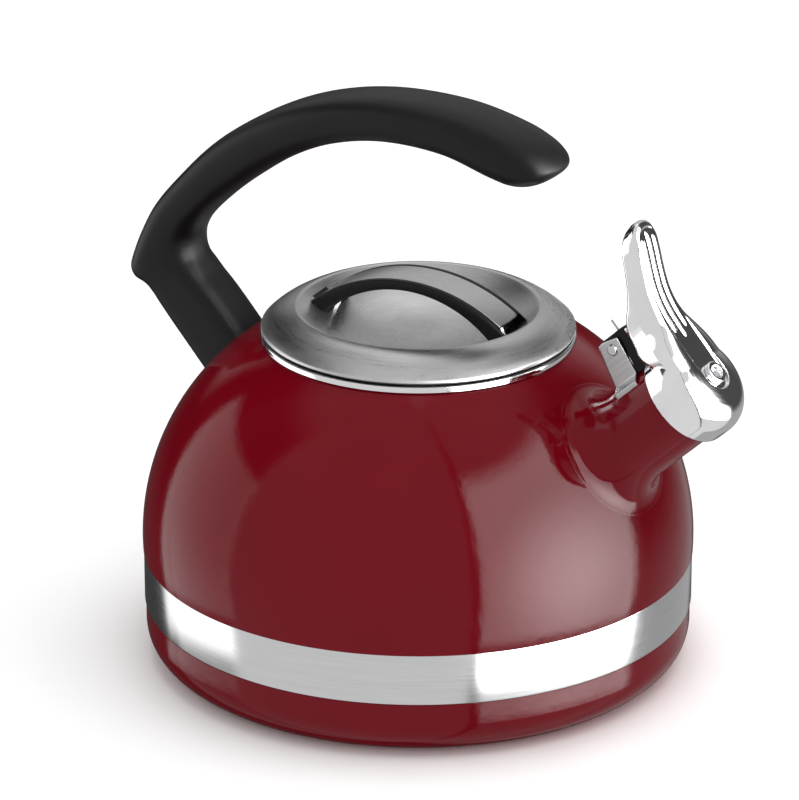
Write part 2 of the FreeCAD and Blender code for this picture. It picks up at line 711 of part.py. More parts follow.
def rib_shape(offset, shortening):
    """Rib along the upper half of the lever's upper side; the outer two end lower down."""
    half, proud, sunk = 0.75, 0.6, 1.8
    route = RIB_ROUTE[:-1] + [(RIB_ROUTE[-1][0] - shortening / 2, RIB_ROUTE[-1][1] - shortening)]
    rows = []
    for lift in (proud, -sunk):
        curve = Part.BSplineCurve()
        curve.interpolate([Vector(-above, offset - half, along + lift) for along, above in route])
        rows.append(curve)
    ends = [
        Part.LineSegment(rows[0].StartPoint, rows[1].StartPoint),
        Part.LineSegment(rows[0].EndPoint, rows[1].EndPoint),
    ]
    edges = [item.toShape() for item in rows + ends]
    face = Part.Face(Part.Wire(Part.__sortEdges__(edges)))
    return face.extrude(Vector(0, 2 * half, 0))


def make_cap_lever():
    crown = turned("cap_crown_body", crown_outline(True))
    hollow = turned("cap_hollow_body", crown_outline(False))
    doc.recompute()
    half, floor = 4.5, size("cap_top") - 1.4
    channel = Part.makeBox(27, 2 * half, 4, Vector(-27, -half, floor))
    channel = channel.fuse(Part.makeCylinder(half, 4, Vector(0, 0, floor)))
    shape = crown.Shape.fuse(lever_shape()).cut(channel)
    shape = shape.fuse([rib_shape(offset, cut_back) for offset, cut_back in RIB_OFFSETS.items()])
    shape = shape.cut(hollow.Shape).cut(Part.makeCylinder(3.0, 20)).cut(block_screw_room())
    shape = max(shape.Solids, key=lambda item: item.Volume)
    return keep(feature("cap_lever_shape", shape, spout_frame()), "cap_lever")


def make_whistle():
    frame = spout_frame()
    outer, low, high = "13.3", "5.0", "9.5"
    plate_sheet = "0.5"
    hole = "1.3"
    plates = {"whistle_lower_plate": low, "whistle_upper_plate": f"{high} - {plate_sheet}"}
    for label, bottom in plates.items():
        disc = turned(f"{label}_body", [
            (hole, bottom),
            (outer, bottom),
            (outer, f"{bottom} + {plate_sheet}"),
            (hole, f"{bottom} + {plate_sheet}"),
        ], frame)
        keep(disc, label)
    ring = turned("whistle_ring_body", [
        (f"{outer} - 0.9", f"{low} + {plate_sheet}"),
        (outer, f"{low} + {plate_sheet}"),
        (outer, f"{high} - {plate_sheet}"),
        (f"{outer} - 0.9", f"{high} - {plate_sheet}"),
    ], frame)
    keep(ring, "whistle_ring")
    eyelet = turned("whistle_eyelet_body", [
        ("2.0", high),
        ("3.0", high),
        ("3.0", "cap_top - 1.4"),
        ("4.1", "cap_top - 1.4"),
        ("4.1", "cap_top - 0.2", "0.8"),
        ("3.3", "cap_top + 0.6"),
        ("2.8", "cap_top + 0.6", "0.8"),
        ("2.0", "cap_top - 0.2"),
    ], frame)
    keep(eyelet, "whistle_eyelet")


def make_cap_insert():
    ring = turned("cap_insert_body", [
        ("13.35", "4.4"),
        ("skirt_inner - 0.05", "4.4"),
        ("skirt_inner - 0.05", "6.9"),
        ("13.35", "6.9"),
    ], spout_frame())
    keep(ring, "cap_insert")
    seal = turned("cap_seal_body", [
        ("13.8", "2.95"),
        ("17.2", "2.95"),
        ("17.2", "4.4"),
        ("13.8", "4.4"),
    ], spout_frame())
    keep(seal, "cap_seal")


# ---- lid -------------------------------------------------------------------------------------

def well(radius, inset="0"):
    """Formula of the finger well's height at a radius."""
    centre = "lid_crest - well_depth + well_radius"
    return f"{centre} - sqrt((well_radius + {inset})^2 - ({radius})^2)"


def make_lid_cover():
    inner = "lid_crest_radius - 0.9"
    outer = "lid_crest_radius + 0.8"
    under_crest = "lid_crest_radius - 0.6"
    return turned("lid_cover_body", [
        ("lid_radius - 1.2", "lid_edge"),
        ("lid_radius - 0.4", "lid_edge", "0.5"),
        ("lid_radius", "lid_edge + 0.5"),
        ("lid_radius - 0.1", "lid_edge + 1.0", "28"),
        (outer, "lid_crest - 0.15", "1.4"),
        (inner, well(inner), "0 - well_radius"),
        ("0", "lid_crest - well_depth"),
        ("0", "lid_crest - well_depth - lid_sheet", "well_radius + lid_sheet"),
        (under_crest, well(under_crest, "lid_sheet")),
        ("lid_crest_radius + 0.6", "lid_crest - 1.05", "0 - 27.2"),
        ("lid_radius - 1.2", "lid_edge + 1.0"),
    ])


def make_lid_liner():
    flange = "lid_radius - 1.2"
    return keep(turned("lid_liner_body", [
        ("plug_radius - lid_sheet", "plug_low"),
        ("plug_radius", "plug_low"),
        ("plug_radius", "lid_edge - 0.3"),
        (flange, "lid_edge - 0.3"),
        (flange, "lid_edge + 0.3"),
        ("plug_radius - lid_sheet", "lid_edge + 0.3"),
    ]), "lid_liner")


def make_lid_gasket():
    return keep(turned("lid_gasket_body", [
        ("plug_radius + 0.1", "rim_top + 0.25"),
        ("lid_radius - 1.5", "rim_top + 0.25"),
        ("lid_radius - 1.5", "lid_edge - 0.3"),
        ("plug_radius + 0.1", "lid_edge - 0.3"),
    ]), "lid_gasket")


def make_lid_clips():
    """Three bowed leaf springs round the lid's skirt."""
    spread = 16
    base = size("plug_radius")
    middle = size("plug_low") + 6.0
    outline = [(base, -4.5), (base + 1.6, 0), (base, 4.5), (base, 4.0), (base + 1.2, 0), (base, -4.0)]
    points = [Vector(radius, 0, middle + up) for radius, up in outline]
    face = Part.Face(Part.makePolygon(points + points[:1]))
    leaf = face.revolve(Vector(0, 0, 0), Vector(0, 0, 1), spread)
    turns = [Rotation(Vector(0, 0, 1), angle) for angle in (90, 210, 330)]
    places = [Placement(Vector(0, 0, 0), turn) for turn in turns]
    keep(feature("lid_clip_set", copies(leaf, places)), "lid_clips")


def arc_height(reach, top, radius):
    """Height of an arc that is highest on the axis, at a distance from the axis."""
    return top - radius + math.sqrt(radius ** 2 - reach ** 2)


def slab_between(reach, top, top_radius, under, under_radius, half):
    """Prism across Y between two arcs that are highest on the axis."""
    upper = [Vector(x, 0, arc_height(x, top, top_radius)) for x in (-reach, 0, reach)]
    lower = [Vector(x, 0, arc_height(x, under, under_radius)) for x in (reach, 0, -reach)]
    edges = [
        Part.Arc(*upper).toShape(),
        Part.LineSegment(upper[2], lower[0]).toShape(),
        Part.Arc(*lower).toShape(),
        Part.LineSegment(lower[2], upper[0]).toShape(),
    ]
    face = Part.Face(Part.Wire(Part.__sortEdges__(edges)))
    face.translate(Vector(0, -half, 0))
    return face.extrude(Vector(0, 2 * half, 0))


def inlay_solid():
    top, radius = size("arch_top"), size("arch_radius")
    sheet_thickness = size("inlay_sheet")
    return slab_between(
        size("inlay_reach"), top, radius,
        top - sheet_thickness, radius - sheet_thickness, size("inlay_half"))


def lid_screw_places():
    """Frames of the lid's screws: square to the well, Z up into the arch's feet."""
    reach = size("lid_screw_reach")
    sphere = Vector(0, 0, size("lid_crest - well_depth + well_radius"))
    places = []
    for side in (-1, 1):
        seat = Vector(side * reach, 0, size(well("lid_screw_reach", "lid_sheet")))
        inward = (sphere - seat).normalize()
        places.append(Placement(seat, Rotation(Vector(0, 0, 1), inward)))
    return places


def make_lid_handle():
    reach = 40.0
    arch = slab_between(
        reach, size("arch_top"), size("arch_radius"),
        size("arch_under"), size("arch_under_radius"), size("arch_half"))
    centre = Vector(0, 0, size("lid_crest - well_depth + well_radius"))
    bowl = Part.makeSphere(size("well_radius"), centre)
    arch = arch.common(bowl).cut(inlay_solid())
    holes = copies(Part.makeCylinder(1.4, 7.0), lid_screw_places())
    keep(feature("lid_handle_shape", arch.cut(holes), lid_frame()), "lid_handle")
    keep(feature("lid_inlay_shape", inlay_solid(), lid_frame()), "lid_handle_inlay")


def make_lid_fasteners(cover):
    hole_tools = copies(Part.makeCylinder(1.4, 3.0, Vector(0, 0, -1.5)), lid_screw_places())
    tool = feature("lid_screw_holes", hole_tools, lid_frame())
    keep(cut("lid_cover_drilled", cover, tool), "lid_cover")
    disc = washer(3.2, 1.45, 0.5)
    disc.translate(Vector(0, 0, -0.5))
    shape = screw(2.7, 1.6, 1.4, 6.8)
    shape.translate(Vector(0, 0, -0.5))
    keep(feature("lid_screw_pair", copies(shape, lid_screw_places()), lid_frame()), "lid_handle_screws")
    pair = copies(disc, lid_screw_places())
    keep(feature("lid_washer_pair", pair, lid_frame()), "lid_handle_washers")


# ---- build, test and write -------------------------------------------------------------------

def build():
    fill_sheet()
    dome = dome_solid()
    make_body_shell()
    make_base_pan()
    make_trim_band()
    make_neck_rim()
    tube = make_spout_tube(dome)
    make_spout_rim()
    doc.recompute()
    make_handle(dome)
    make_stem_fasteners()
    make_spout_bracket()
    make_bracket_rivets()
    drill_for_rivets(tube)
    make_hinge_pin()
    make_hinge_block()
    make_block_screws()
    make_torsion_spring()
    make_cap_lever()
    make_whistle()
    make_cap_insert()
    cover = make_lid_cover()
    make_lid_liner()
    make_lid_gasket()
    make_lid_clips()
    make_lid_handle()
    make_lid_fasteners(cover)
    doc.recompute()


def test():
    """Stop if any object failed or any sub-part's shape is unusable."""
    broken = [item.Name for item in doc.Objects if {"Invalid", "Error"} & set(item.State)]
    if broken:
        raise RuntimeError(f"failed objects: {broken}")
    for piece in finished:
        shape = piece.Shape
        if shape.isNull() or not shape.isValid() or not shape.Solids:
            raise RuntimeError(f"unusable shape: {piece.Label}")


def write():
    os.makedirs("parts", exist_ok=True)
    for piece in finished:
        piece.Shape.exportStep(os.path.join("parts", f"{piece.Label}.step"))
        box = piece.Shape.BoundBox
        print(f"{piece.Label:22s} {len(piece.Shape.Solids)} solids {piece.Shape.Volume:10.1f} mm3 "
              f"X {box.XMin:.1f}..{box.XMax:.1f} Y {box.YMin:.1f}..{box.YMax:.1f} "
              f"Z {box.ZMin:.1f}..{box.ZMax:.1f}")


build()
test()
write()
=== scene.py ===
import math

import bmesh
import bpy
import numpy as np
from mathutils import Matrix, Vector


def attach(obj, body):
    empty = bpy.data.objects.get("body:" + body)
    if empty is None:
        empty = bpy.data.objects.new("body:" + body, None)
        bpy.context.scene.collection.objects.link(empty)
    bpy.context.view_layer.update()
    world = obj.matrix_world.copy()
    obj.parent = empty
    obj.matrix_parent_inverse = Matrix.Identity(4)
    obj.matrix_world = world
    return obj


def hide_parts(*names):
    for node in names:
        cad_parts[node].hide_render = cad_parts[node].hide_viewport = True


# Stovetop kettle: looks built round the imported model. Shapes are worked out in millimetres in the
# kettle's own frame (+Z up, +X towards the spout) and stored in metres.

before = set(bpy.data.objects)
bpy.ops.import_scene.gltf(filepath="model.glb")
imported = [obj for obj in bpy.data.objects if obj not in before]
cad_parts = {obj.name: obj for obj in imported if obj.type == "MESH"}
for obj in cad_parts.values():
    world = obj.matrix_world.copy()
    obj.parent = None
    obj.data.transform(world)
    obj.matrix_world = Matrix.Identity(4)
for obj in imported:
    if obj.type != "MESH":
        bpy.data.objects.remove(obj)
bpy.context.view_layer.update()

MM = 0.001
TURN = 2 * math.pi

# ---- dimensions, as in the CAD model (millimetres) -------------------------------------------

DOME_OFFSET, DOME_HEIGHT, DOME_RADIUS = 12.69, 43.6, 84.46
WALL = 1.2
BAND_LOW, BAND_TOP, BAND_RADIUS = 21.0, 39.3, 96.8
SEAM_RADIUS, SEAM_LOW = 96.05, 22.5
BASE_FLAT, BASE_CORNER, BASE_SHEET, BASE_LAP = 83.35, 13.0, 1.6, 31.5
LIP_RADIUS = 53.8
SPOUT_LEAN = math.radians(47.0)
SPOUT_PLACE = np.array([106.0, 0.0, 117.5])
SPOUT_ALONG = np.array([math.sin(SPOUT_LEAN), 0.0, math.cos(SPOUT_LEAN)])
SPOUT_ABOVE = np.array([-math.cos(SPOUT_LEAN), 0.0, math.sin(SPOUT_LEAN)])
SIDEWAYS = np.array([0.0, 1.0, 0.0])
TUBE_OUTER, TUBE_INNER, TUBE_END = 16.3, 15.0, 2.0
CREST_RADIUS, CREST_HEIGHT = 42.5, 128.9
WELL_RADIUS, WELL_DEPTH = 70.0, 14.0
WELL_CENTRE = CREST_HEIGHT - WELL_DEPTH + WELL_RADIUS
LID_RADIUS, LID_EDGE, LID_SHEET, FLANGE_RADIUS = 54.8, 120.6, 0.8, 28.0
ARCH_TOP, ARCH_RADIUS, ARCH_UNDER, ARCH_UNDER_RADIUS, ARCH_HALF = 140.0, 59.4, 136.5, 45.0, 9.4
INLAY_HALF, INLAY_REACH, INLAY_SHEET = 6.85, 34.7, 0.8
LID_TURN = math.radians(5.0)

# ---- materials -------------------------------------------------------------------------------


def node_tree(name):
    material = bpy.data.materials.new(name)
    material.use_nodes = True
    tree = material.node_tree
    tree.nodes.clear()
    out = tree.nodes.new("ShaderNodeOutputMaterial")
    shader = tree.nodes.new("ShaderNodeBsdfPrincipled")
    tree.links.new(shader.outputs[0], out.inputs["Surface"])
    return material, tree, shader


def add(tree, kind, inputs=None, **settings):
    """A new node; inputs gives numbers or sockets by the input's name or place."""
    item = tree.nodes.new("ShaderNode" + kind)
    for key, value in settings.items():
        setattr(item, key, value)
    for key, value in (inputs or {}).items():
        if isinstance(value, bpy.types.NodeSocket):
            tree.links.new(value, item.inputs[key])
        else:
            item.inputs[key].default_value = value
    return item


def noise(tree, vector, scale, detail=3.0, rough=0.5):
    settings = {"Vector": vector, "Scale": scale, "Detail": detail, "Roughness": rough}
    return add(tree, "TexNoise", settings).outputs["Fac"]


def stretch(tree, vector, factors):
    return add(tree, "VectorMath", {0: vector, 1: factors}, operation="MULTIPLY").outputs[0]


def spread(tree, value, low, high, start=0.3, end=0.7):
    settings = {"Value": value, "From Min": start, "From Max": end, "To Min": low, "To Max": high}
    return add(tree, "MapRange", settings).outputs["Result"]


def tint(tree, value, dark, light):
    item = add(tree, "Mix", {"Factor": value}, data_type="RGBA")
    item.inputs["A"].default_value = (*dark, 1.0)
    item.inputs["B"].default_value = (*light, 1.0)
    return item.outputs["Result"]


def blend_value(tree, first, second, share):
    settings = {"Factor": share, "A": first, "B": second}
    return add(tree, "Mix", settings, data_type="FLOAT").outputs["Result"]


def bump(tree, height, distance, strength=1.0, normal=None):
    settings = {"Height": height, "Distance": distance, "Strength": strength}
    if normal is not None:
        settings["Normal"] = normal
    return add(tree, "Bump", settings).outputs["Normal"]


def finish(tree, shader, colour, rough, normal, metallic=0.0, specular=0.5, anisotropy=0.0):
    tree.links.new(colour, shader.inputs["Base Color"])
    tree.links.new(rough, shader.inputs["Roughness"])
    tree.links.new(normal, shader.inputs["Normal"])
    shader.inputs["Metallic"].default_value = metallic
    shader.inputs["Specular IOR Level"].default_value = specular
    shader.inputs["Anisotropic"].default_value = anisotropy


def enamel_material():
    """Deep glossy glaze: faint cloudiness, orange peel, pinholes and hairline scuffs."""
    material, tree, shader = node_tree("enamel_red")
    place = add(tree, "TexCoord").outputs["Object"]
    cloud = noise(tree, place, 14.0, 4.0, 0.6)
    colour = tint(tree, spread(tree, cloud, 0.0, 1.0), (0.128, 0.0007, 0.0056), (0.150, 0.0012, 0.0072))
    fleck = noise(tree, place, 900.0, 2.0, 0.6)
    colour = tint_over(tree, colour, spread(tree, fleck, 0.0, 0.35, 0.66, 0.74), (0.03, 0.0008, 0.002))
    scuff = noise(tree, stretch(tree, place, (60.0, 60.0, 1400.0)), 1.0, 2.0, 0.6)
    scuffed = spread(tree, scuff, 0.10, 0.16, 0.62, 0.8)
    rough = blend_value(tree, spread(tree, cloud, 0.07, 0.11), scuffed, 0.3)
    peel = bump(tree, noise(tree, place, 260.0, 2.0, 0.5), 0.00004)
    normal = bump(tree, fleck, 0.000012, 0.5, peel)
    finish(tree, shader, colour, rough, normal, specular=0.16)
    return material


def tint_over(tree, colour, share, other):
    item = add(tree, "Mix", {"Factor": share, "A": colour}, data_type="RGBA")
    item.inputs["B"].default_value = (*other, 1.0)
    return item.outputs["Result"]


def scratch_mask(tree, place, turn, fine, wide):
    """Thin straight scratches along one direction."""
    mapping = add(tree, "Mapping", {"Vector": place, "Rotation": (0.4 * turn, 0.7 * turn, turn)})
    grain = noise(tree, stretch(tree, mapping.outputs[0], (fine, wide, wide)), 1.0, 2.0, 0.7)
    return spread(tree, grain, 0.0, 1.0, 0.70, 0.76)


def polished_material(name, dark, light, low, high):
    """Polished metal: soft smudges, fine random scratches and a faint grain."""
    material, tree, shader = node_tree(name)
    place = add(tree, "TexCoord").outputs["Object"]
    smudge = noise(tree, place, 45.0, 4.0, 0.6)
    colour = tint(tree, spread(tree, smudge, 0.0, 1.0), dark, light)
    marks = scratch_mask(tree, place, 0.6, 5200.0, 90.0)
    other = scratch_mask(tree, place, 2.1, 6100.0, 120.0)
    marks = add(tree, "Math", {0: marks, 1: other}, operation="MAXIMUM").outputs[0]
    rough = spread(tree, smudge, low, high)
    worn = add(tree, "Math", {0: marks, 1: 0.05}, operation="MULTIPLY").outputs[0]
    rough = add(tree, "Math", {0: rough, 1: worn}, operation="ADD").outputs[0]
    normal = bump(tree, noise(tree, place, 1800.0, 3.0, 0.6), 0.000004)
    normal = bump(tree, marks, 0.000003, 0.6, normal)
    finish(tree, shader, colour, rough, normal, metallic=1.0)
    return material


def turned_steel_material(name, dark, light, low, high, anisotropy, depth=0.000006):
    """Steel brushed in circles round the vertical axis."""
    material, tree, shader = node_tree(name)
    place = add(tree, "TexCoord").outputs["Object"]
    parts = add(tree, "SeparateXYZ", {0: place})
    flat = add(tree, "CombineXYZ", {0: parts.outputs[0], 1: parts.outputs[1]}).outputs[0]
    radius = add(tree, "VectorMath", {0: flat}, operation="LENGTH").outputs["Value"]
    slope = add(tree, "Math", {0: radius, 1: parts.outputs[2]}, operation="ADD").outputs[0]
    unit = add(tree, "VectorMath", {0: flat}, operation="NORMALIZE").outputs[0]
    round_axis = add(tree, "VectorMath", {0: unit, 3: 3.0}, operation="SCALE").outputs[0]
    fine = add(tree, "Math", {0: slope, 1: 2600.0}, operation="MULTIPLY").outputs[0]
    lift = add(tree, "CombineXYZ", {2: fine}).outputs[0]
    streak_place = add(tree, "VectorMath", {0: round_axis, 1: lift}, operation="ADD").outputs[0]
    streak = noise(tree, streak_place, 1.0, 4.0, 0.75)
    coarse = add(tree, "Math", {0: slope, 1: 420.0}, operation="MULTIPLY").outputs[0]
    lift = add(tree, "CombineXYZ", {2: coarse}).outputs[0]
    broad_place = add(tree, "VectorMath", {0: round_axis, 1: lift}, operation="ADD").outputs[0]
    broad = noise(tree, broad_place, 1.0, 3.0, 0.6)
    grain = blend_value(tree, streak, broad, 0.35)
    colour = tint(tree, spread(tree, grain, 0.0, 1.0), dark, light)
    rough = spread(tree, blend_value(tree, streak, noise(tree, place, 30.0), 0.4), low, high)
    normal = bump(tree, streak, depth)
    normal = bump(tree, scratch_mask(tree, place, 1.3, 4200.0, 70.0), 0.000004, 0.5, normal)
    finish(tree, shader, colour, rough, normal, metallic=1.0, anisotropy=anisotropy)
    tangent = add(tree, "Tangent", direction_type="RADIAL", axis="Z").outputs[0]
    tree.links.new(tangent, shader.inputs["Tangent"])
    return material


def straight_steel_material(name, dark, light, low, high, factors, turn):
    """Steel brushed in one direction."""
    material, tree, shader = node_tree(name)
    place = add(tree, "TexCoord").outputs["Object"]
    mapped = add(tree, "Mapping", {"Vector": place, "Rotation": turn}).outputs[0]
    streak = noise(tree, stretch(tree, mapped, factors), 1.0, 3.0, 0.7)
    colour = tint(tree, spread(tree, streak, 0.0, 1.0), dark, light)
    rough = spread(tree, blend_value(tree, streak, noise(tree, place, 60.0), 0.4), low, high)
    normal = bump(tree, streak, 0.000008)
    finish(tree, shader, colour, rough, normal, metallic=1.0)
    return material


def handle_material():
    """Black moulded plastic: fine spark grain, faint flow marks and rubbed gloss."""
    material, tree, shader = node_tree("handle_black")
    place = add(tree, "TexCoord").outputs["Object"]
    patch = noise(tree, place, 22.0, 4.0, 0.6)
    grain = noise(tree, place, 1500.0, 3.0, 0.6)
    colour = tint(tree, spread(tree, patch, 0.0, 1.0), (0.0024, 0.0024, 0.0026), (0.0046, 0.0046, 0.0050))
    rub = scratch_mask(tree, place, 0.3, 2600.0, 40.0)
    rough = spread(tree, blend_value(tree, patch, grain, 0.4), 0.36, 0.5)
    worn = add(tree, "Math", {0: rub, 1: 0.08}, operation="MULTIPLY").outputs[0]
    rough = add(tree, "Math", {0: rough, 1: worn}, operation="SUBTRACT").outputs[0]
    normal = bump(tree, grain, 0.00004, 0.6)
    finish(tree, shader, colour, rough, normal, specular=0.22)
    return material


def rubber_material():
    """Matt silicone with a dusty bloom."""
    material, tree, shader = node_tree("seal_rubber")
    place = add(tree, "TexCoord").outputs["Object"]
    bloom = noise(tree, place, 120.0, 4.0, 0.6)
    colour = tint(tree, spread(tree, bloom, 0.0, 1.0), (0.011, 0.011, 0.012), (0.028, 0.028, 0.029))
    rough = spread(tree, bloom, 0.62, 0.8)
    normal = bump(tree, noise(tree, place, 2200.0, 2.0, 0.6), 0.00003)
    finish(tree, shader, colour, rough, normal, specular=0.4)
    return material


def grey(dark, light):
    """Dark and light steel, each a touch bluer than neutral."""
    return (dark, dark, dark + 0.005), (light, light, light + 0.005)


MATERIALS = {
    "enamel": enamel_material(),
    "band": turned_steel_material("band_steel", *grey(0.56, 0.64), 0.10, 0.17, 0.35, 0.000002),
    "rim": turned_steel_material("rim_steel", *grey(0.66, 0.78), 0.09, 0.16, 0.3, 0.000002),
    "lid": turned_steel_material("lid_steel", *grey(0.40, 0.56), 0.24, 0.34, 0.75),
    "inlay": straight_steel_material(
        "inlay_steel", *grey(0.50, 0.62), 0.28, 0.38,
        (120.0, 2600.0, 2600.0), (0.0, 0.0, -LID_TURN)),
    "bracket": straight_steel_material(
        "bracket_steel", *grey(0.42, 0.56), 0.26, 0.36,
        (90.0, 2400.0, 2400.0), (0.0, math.pi / 2 - SPOUT_LEAN, 0.0)),
    "chrome": polished_material("cap_chrome", (0.70, 0.70, 0.71), (0.78, 0.78, 0.79), 0.045, 0.085),
    "steel": polished_material("plain_steel", (0.50, 0.50, 0.51), (0.60, 0.60, 0.61), 0.18, 0.28),
    "black": handle_material(),
    "rubber": rubber_material(),
}

# ---- mesh helpers ----------------------------------------------------------------------------


def new_piece(name, mesh, material, body, nodes, sharp=32.0):
    """A finished piece in metres, riding on a body in place of CAD nodes."""
    for polygon in mesh.polygons:
        polygon.use_smooth = True
    mesh.set_sharp_from_angle(angle=math.radians(sharp))
    piece = bpy.data.objects.new(name, mesh)
    bpy.context.scene.collection.objects.link(piece)
    mesh.materials.clear()
    mesh.materials.append(MATERIALS[material])
    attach(piece, body)
    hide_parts(*nodes)


def mesh_from(name, points, faces):
    """Mesh from points in millimetres, with its faces turned outwards."""
    mesh = bpy.data.meshes.new(name)
    mesh.from_pydata((np.asarray(points, float) * MM).tolist(), [], faces)
    shaped = bmesh.new()
    shaped.from_mesh(mesh)
    bmesh.ops.remove_doubles(shaped, verts=shaped.verts, dist=1e-7)
    bmesh.ops.recalc_face_normals(shaped, faces=shaped.faces)
    shaped.to_mesh(mesh)
    shaped.free()
    mesh.update()
    return mesh


def loft(name, rings, capped=True):
    """Mesh through rings of points; without caps its last ring joins its first."""
    rings = np.asarray(rings, float)
    count, size, _ = rings.shape
    points = rings.reshape(-1, 3)
    faces = []
    rows = count - 1 if capped else count
    for row in range(rows):
        low = row * size
        high = (row + 1) % count * size
        for step in range(size):
            other = (step + 1) % size
            faces.append((low + step, low + other, high + other, high + step))
    if capped:
        faces.append(tuple(range(size)))
        faces.append(tuple(range((count - 1) * size, count * size)))
    return mesh_from(name, points, faces)


def lathe(name, profile, place=None, steps=240):
    """Mesh of a closed outline of (radius, height) turned about Z, or about the spout's axis."""
    outline = np.asarray(profile, float)
    angles = np.arange(steps) * TURN / steps
    rings = np.empty((steps, len(outline), 3))
    rings[:, :, 0] = outline[None, :, 0] * np.cos(angles)[:, None]
    rings[:, :, 1] = outline[None, :, 0] * np.sin(angles)[:, None]
    rings[:, :, 2] = outline[None, :, 1]
    if place is not None:
        rings = place(rings)
    return loft(name, rings, capped=False)


def arc(centre, radius, start, end, count):
    """Points of an arc between two angles in degrees."""
    angles = np.radians(np.linspace(start, end, count))
    return [(centre[0] + radius * math.cos(a), centre[1] + radius * math.sin(a)) for a in angles]


def softly(points, radius, count=5):
    """Closed outline with each corner rounded; radius is one number or one for each corner."""
    points = [np.array(p, float) for p in points]
    radii = [radius] * len(points) if np.isscalar(radius) else radius
    rounded = []
    for place, corner in enumerate(points):
        before, after = points[place - 1], points[(place + 1) % len(points)]
        if radii[place] <= 0:
            rounded.append(corner)
            continue
        back, ahead = before - corner, after - corner
        reach = min(radii[place], 0.48 * np.linalg.norm(back), 0.48 * np.linalg.norm(ahead))
        first = corner + back / np.linalg.norm(back) * reach
        last = corner + ahead / np.linalg.norm(ahead) * reach
        for t in np.linspace(0, 1, count):
            rounded.append((1 - t) ** 2 * first + 2 * t * (1 - t) * corner + t ** 2 * last)
    return rounded


def spout_place(rings):
    """Points given about Z, moved to the spout's frame with X pointing below the spout."""
    turned = -rings[..., 0:1] * SPOUT_ABOVE + rings[..., 2:3] * SPOUT_ALONG
    turned = turned + rings[..., 1:2] * SIDEWAYS
    return turned + SPOUT_PLACE


def catmull(stations, steps):
    """Smooth path through stations, spaced by their first four numbers, with steps between them."""
    stations = np.asarray(stations, float)
    padded = np.vstack([2 * stations[0] - stations[1], stations, 2 * stations[-1] - stations[-2]])
    path = []
    for place in range(1, len(padded) - 2):
        a, b, c, d = padded[place - 1:place + 3]
        pairs = ((a, b), (b, c), (c, d))
        gaps = [max(np.linalg.norm(after[:4] - before[:4]), 1e-6) ** 0.5 for before, after in pairs]
        t0, t1, t2, t3 = np.cumsum([0.0] + gaps)
        for t in np.linspace(t1, t2, steps, endpoint=False):
            ab = (t1 - t) / (t1 - t0) * a + (t - t0) / (t1 - t0) * b
            bc = (t2 - t) / (t2 - t1) * b + (t - t1) / (t2 - t1) * c
            cd = (t3 - t) / (t3 - t2) * c + (t - t2) / (t3 - t2) * d
            abc = (t2 - t) / (t2 - t0) * ab + (t - t0) / (t2 - t0) * bc
            bcd = (t3 - t) / (t3 - t1) * bc + (t - t1) / (t3 - t1) * cd
            path.append((t2 - t) / (t2 - t1) * abc + (t - t1) / (t2 - t1) * bcd)
    path.append(stations[-1])
    return np.array(path)


def cut_away(target, cutter):
    """The first mesh without the second, as a new mesh."""
    objects = [bpy.data.objects.new("cut_part", mesh) for mesh in (target, cutter)]
    for item in objects:
        bpy.context.scene.collection.objects.link(item)
    opening = objects[0].modifiers.new("cut", "BOOLEAN")
    opening.operation = "DIFFERENCE"
    opening.solver = "EXACT"
    opening.object = objects[1]
    shaped = objects[0].evaluated_get(bpy.context.evaluated_depsgraph_get())
    mesh = bpy.data.meshes.new_from_object(shaped)
    for item in objects:
        bpy.data.objects.remove(item)
    return mesh


def remeshed(name, mesh, voxel, rounds):
    """The mesh rebuilt in fine voxels (millimetres), then smoothed a number of rounds."""
    blank = bpy.data.objects.new(name + "_blank", mesh)
    bpy.context.scene.collection.objects.link(blank)
    remesh = blank.modifiers.new("voxels", "REMESH")
    remesh.mode = "VOXEL"
    remesh.voxel_size = voxel * MM
    smooth = blank.modifiers.new("smooth", "SMOOTH")
    smooth.iterations = rounds
    shaped = blank.evaluated_get(bpy.context.evaluated_depsgraph_get())
    mesh = bpy.data.meshes.new_from_object(shaped)
    bpy.data.objects.remove(blank)
    return mesh


def softened(node, name, material, body, voxel, rounds=6, sharp=50.0):
    """The CAD piece with its edges softened."""
    mesh = remeshed(name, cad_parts[node].data.copy(), voxel, rounds)
    new_piece(name, mesh, material, body, [node], sharp)


# ---- pot -------------------------------------------------------------------------------------


def dome_point(height, inset=0.0):
    radius = DOME_RADIUS - inset
    return DOME_OFFSET + math.sqrt(radius ** 2 - (height - DOME_HEIGHT) ** 2), height


def onto_dome(points, inset=0.0):
    """Points moved straight to the dome's outside, or to a surface inset from it."""
    points = np.asarray(points, float)
    across = np.hypot(points[..., 0], points[..., 1])
    reach, rise = across - DOME_OFFSET, points[..., 2] - DOME_HEIGHT
    share = (DOME_RADIUS - inset) / np.hypot(reach, rise)
    new_across = DOME_OFFSET + reach * share
    moved = points.copy()
    moved[..., 0] *= new_across / across
    moved[..., 1] *= new_across / across
    moved[..., 2] = DOME_HEIGHT + rise * share
    return moved


def meet_dome(start, direction, inset=0.0):
    """Distance along a line, from well outside, at which it enters the dome."""
    far, near = 60.0, -60.0
    for step in np.linspace(30.0, -80.0, 221):
        point = start + direction * step
        gap = math.hypot(math.hypot(point[0], point[1]) - DOME_OFFSET, point[2] - DOME_HEIGHT)
        if gap < DOME_RADIUS - inset:
            near = step
            break
        far = step
    for _ in range(40):
        middle = (far + near) / 2
        point = start + direction * middle
        gap = math.hypot(math.hypot(point[0], point[1]) - DOME_OFFSET, point[2] - DOME_HEIGHT)
        if gap < DOME_RADIUS - inset:
            near = middle
        else:
            far = middle
    return far


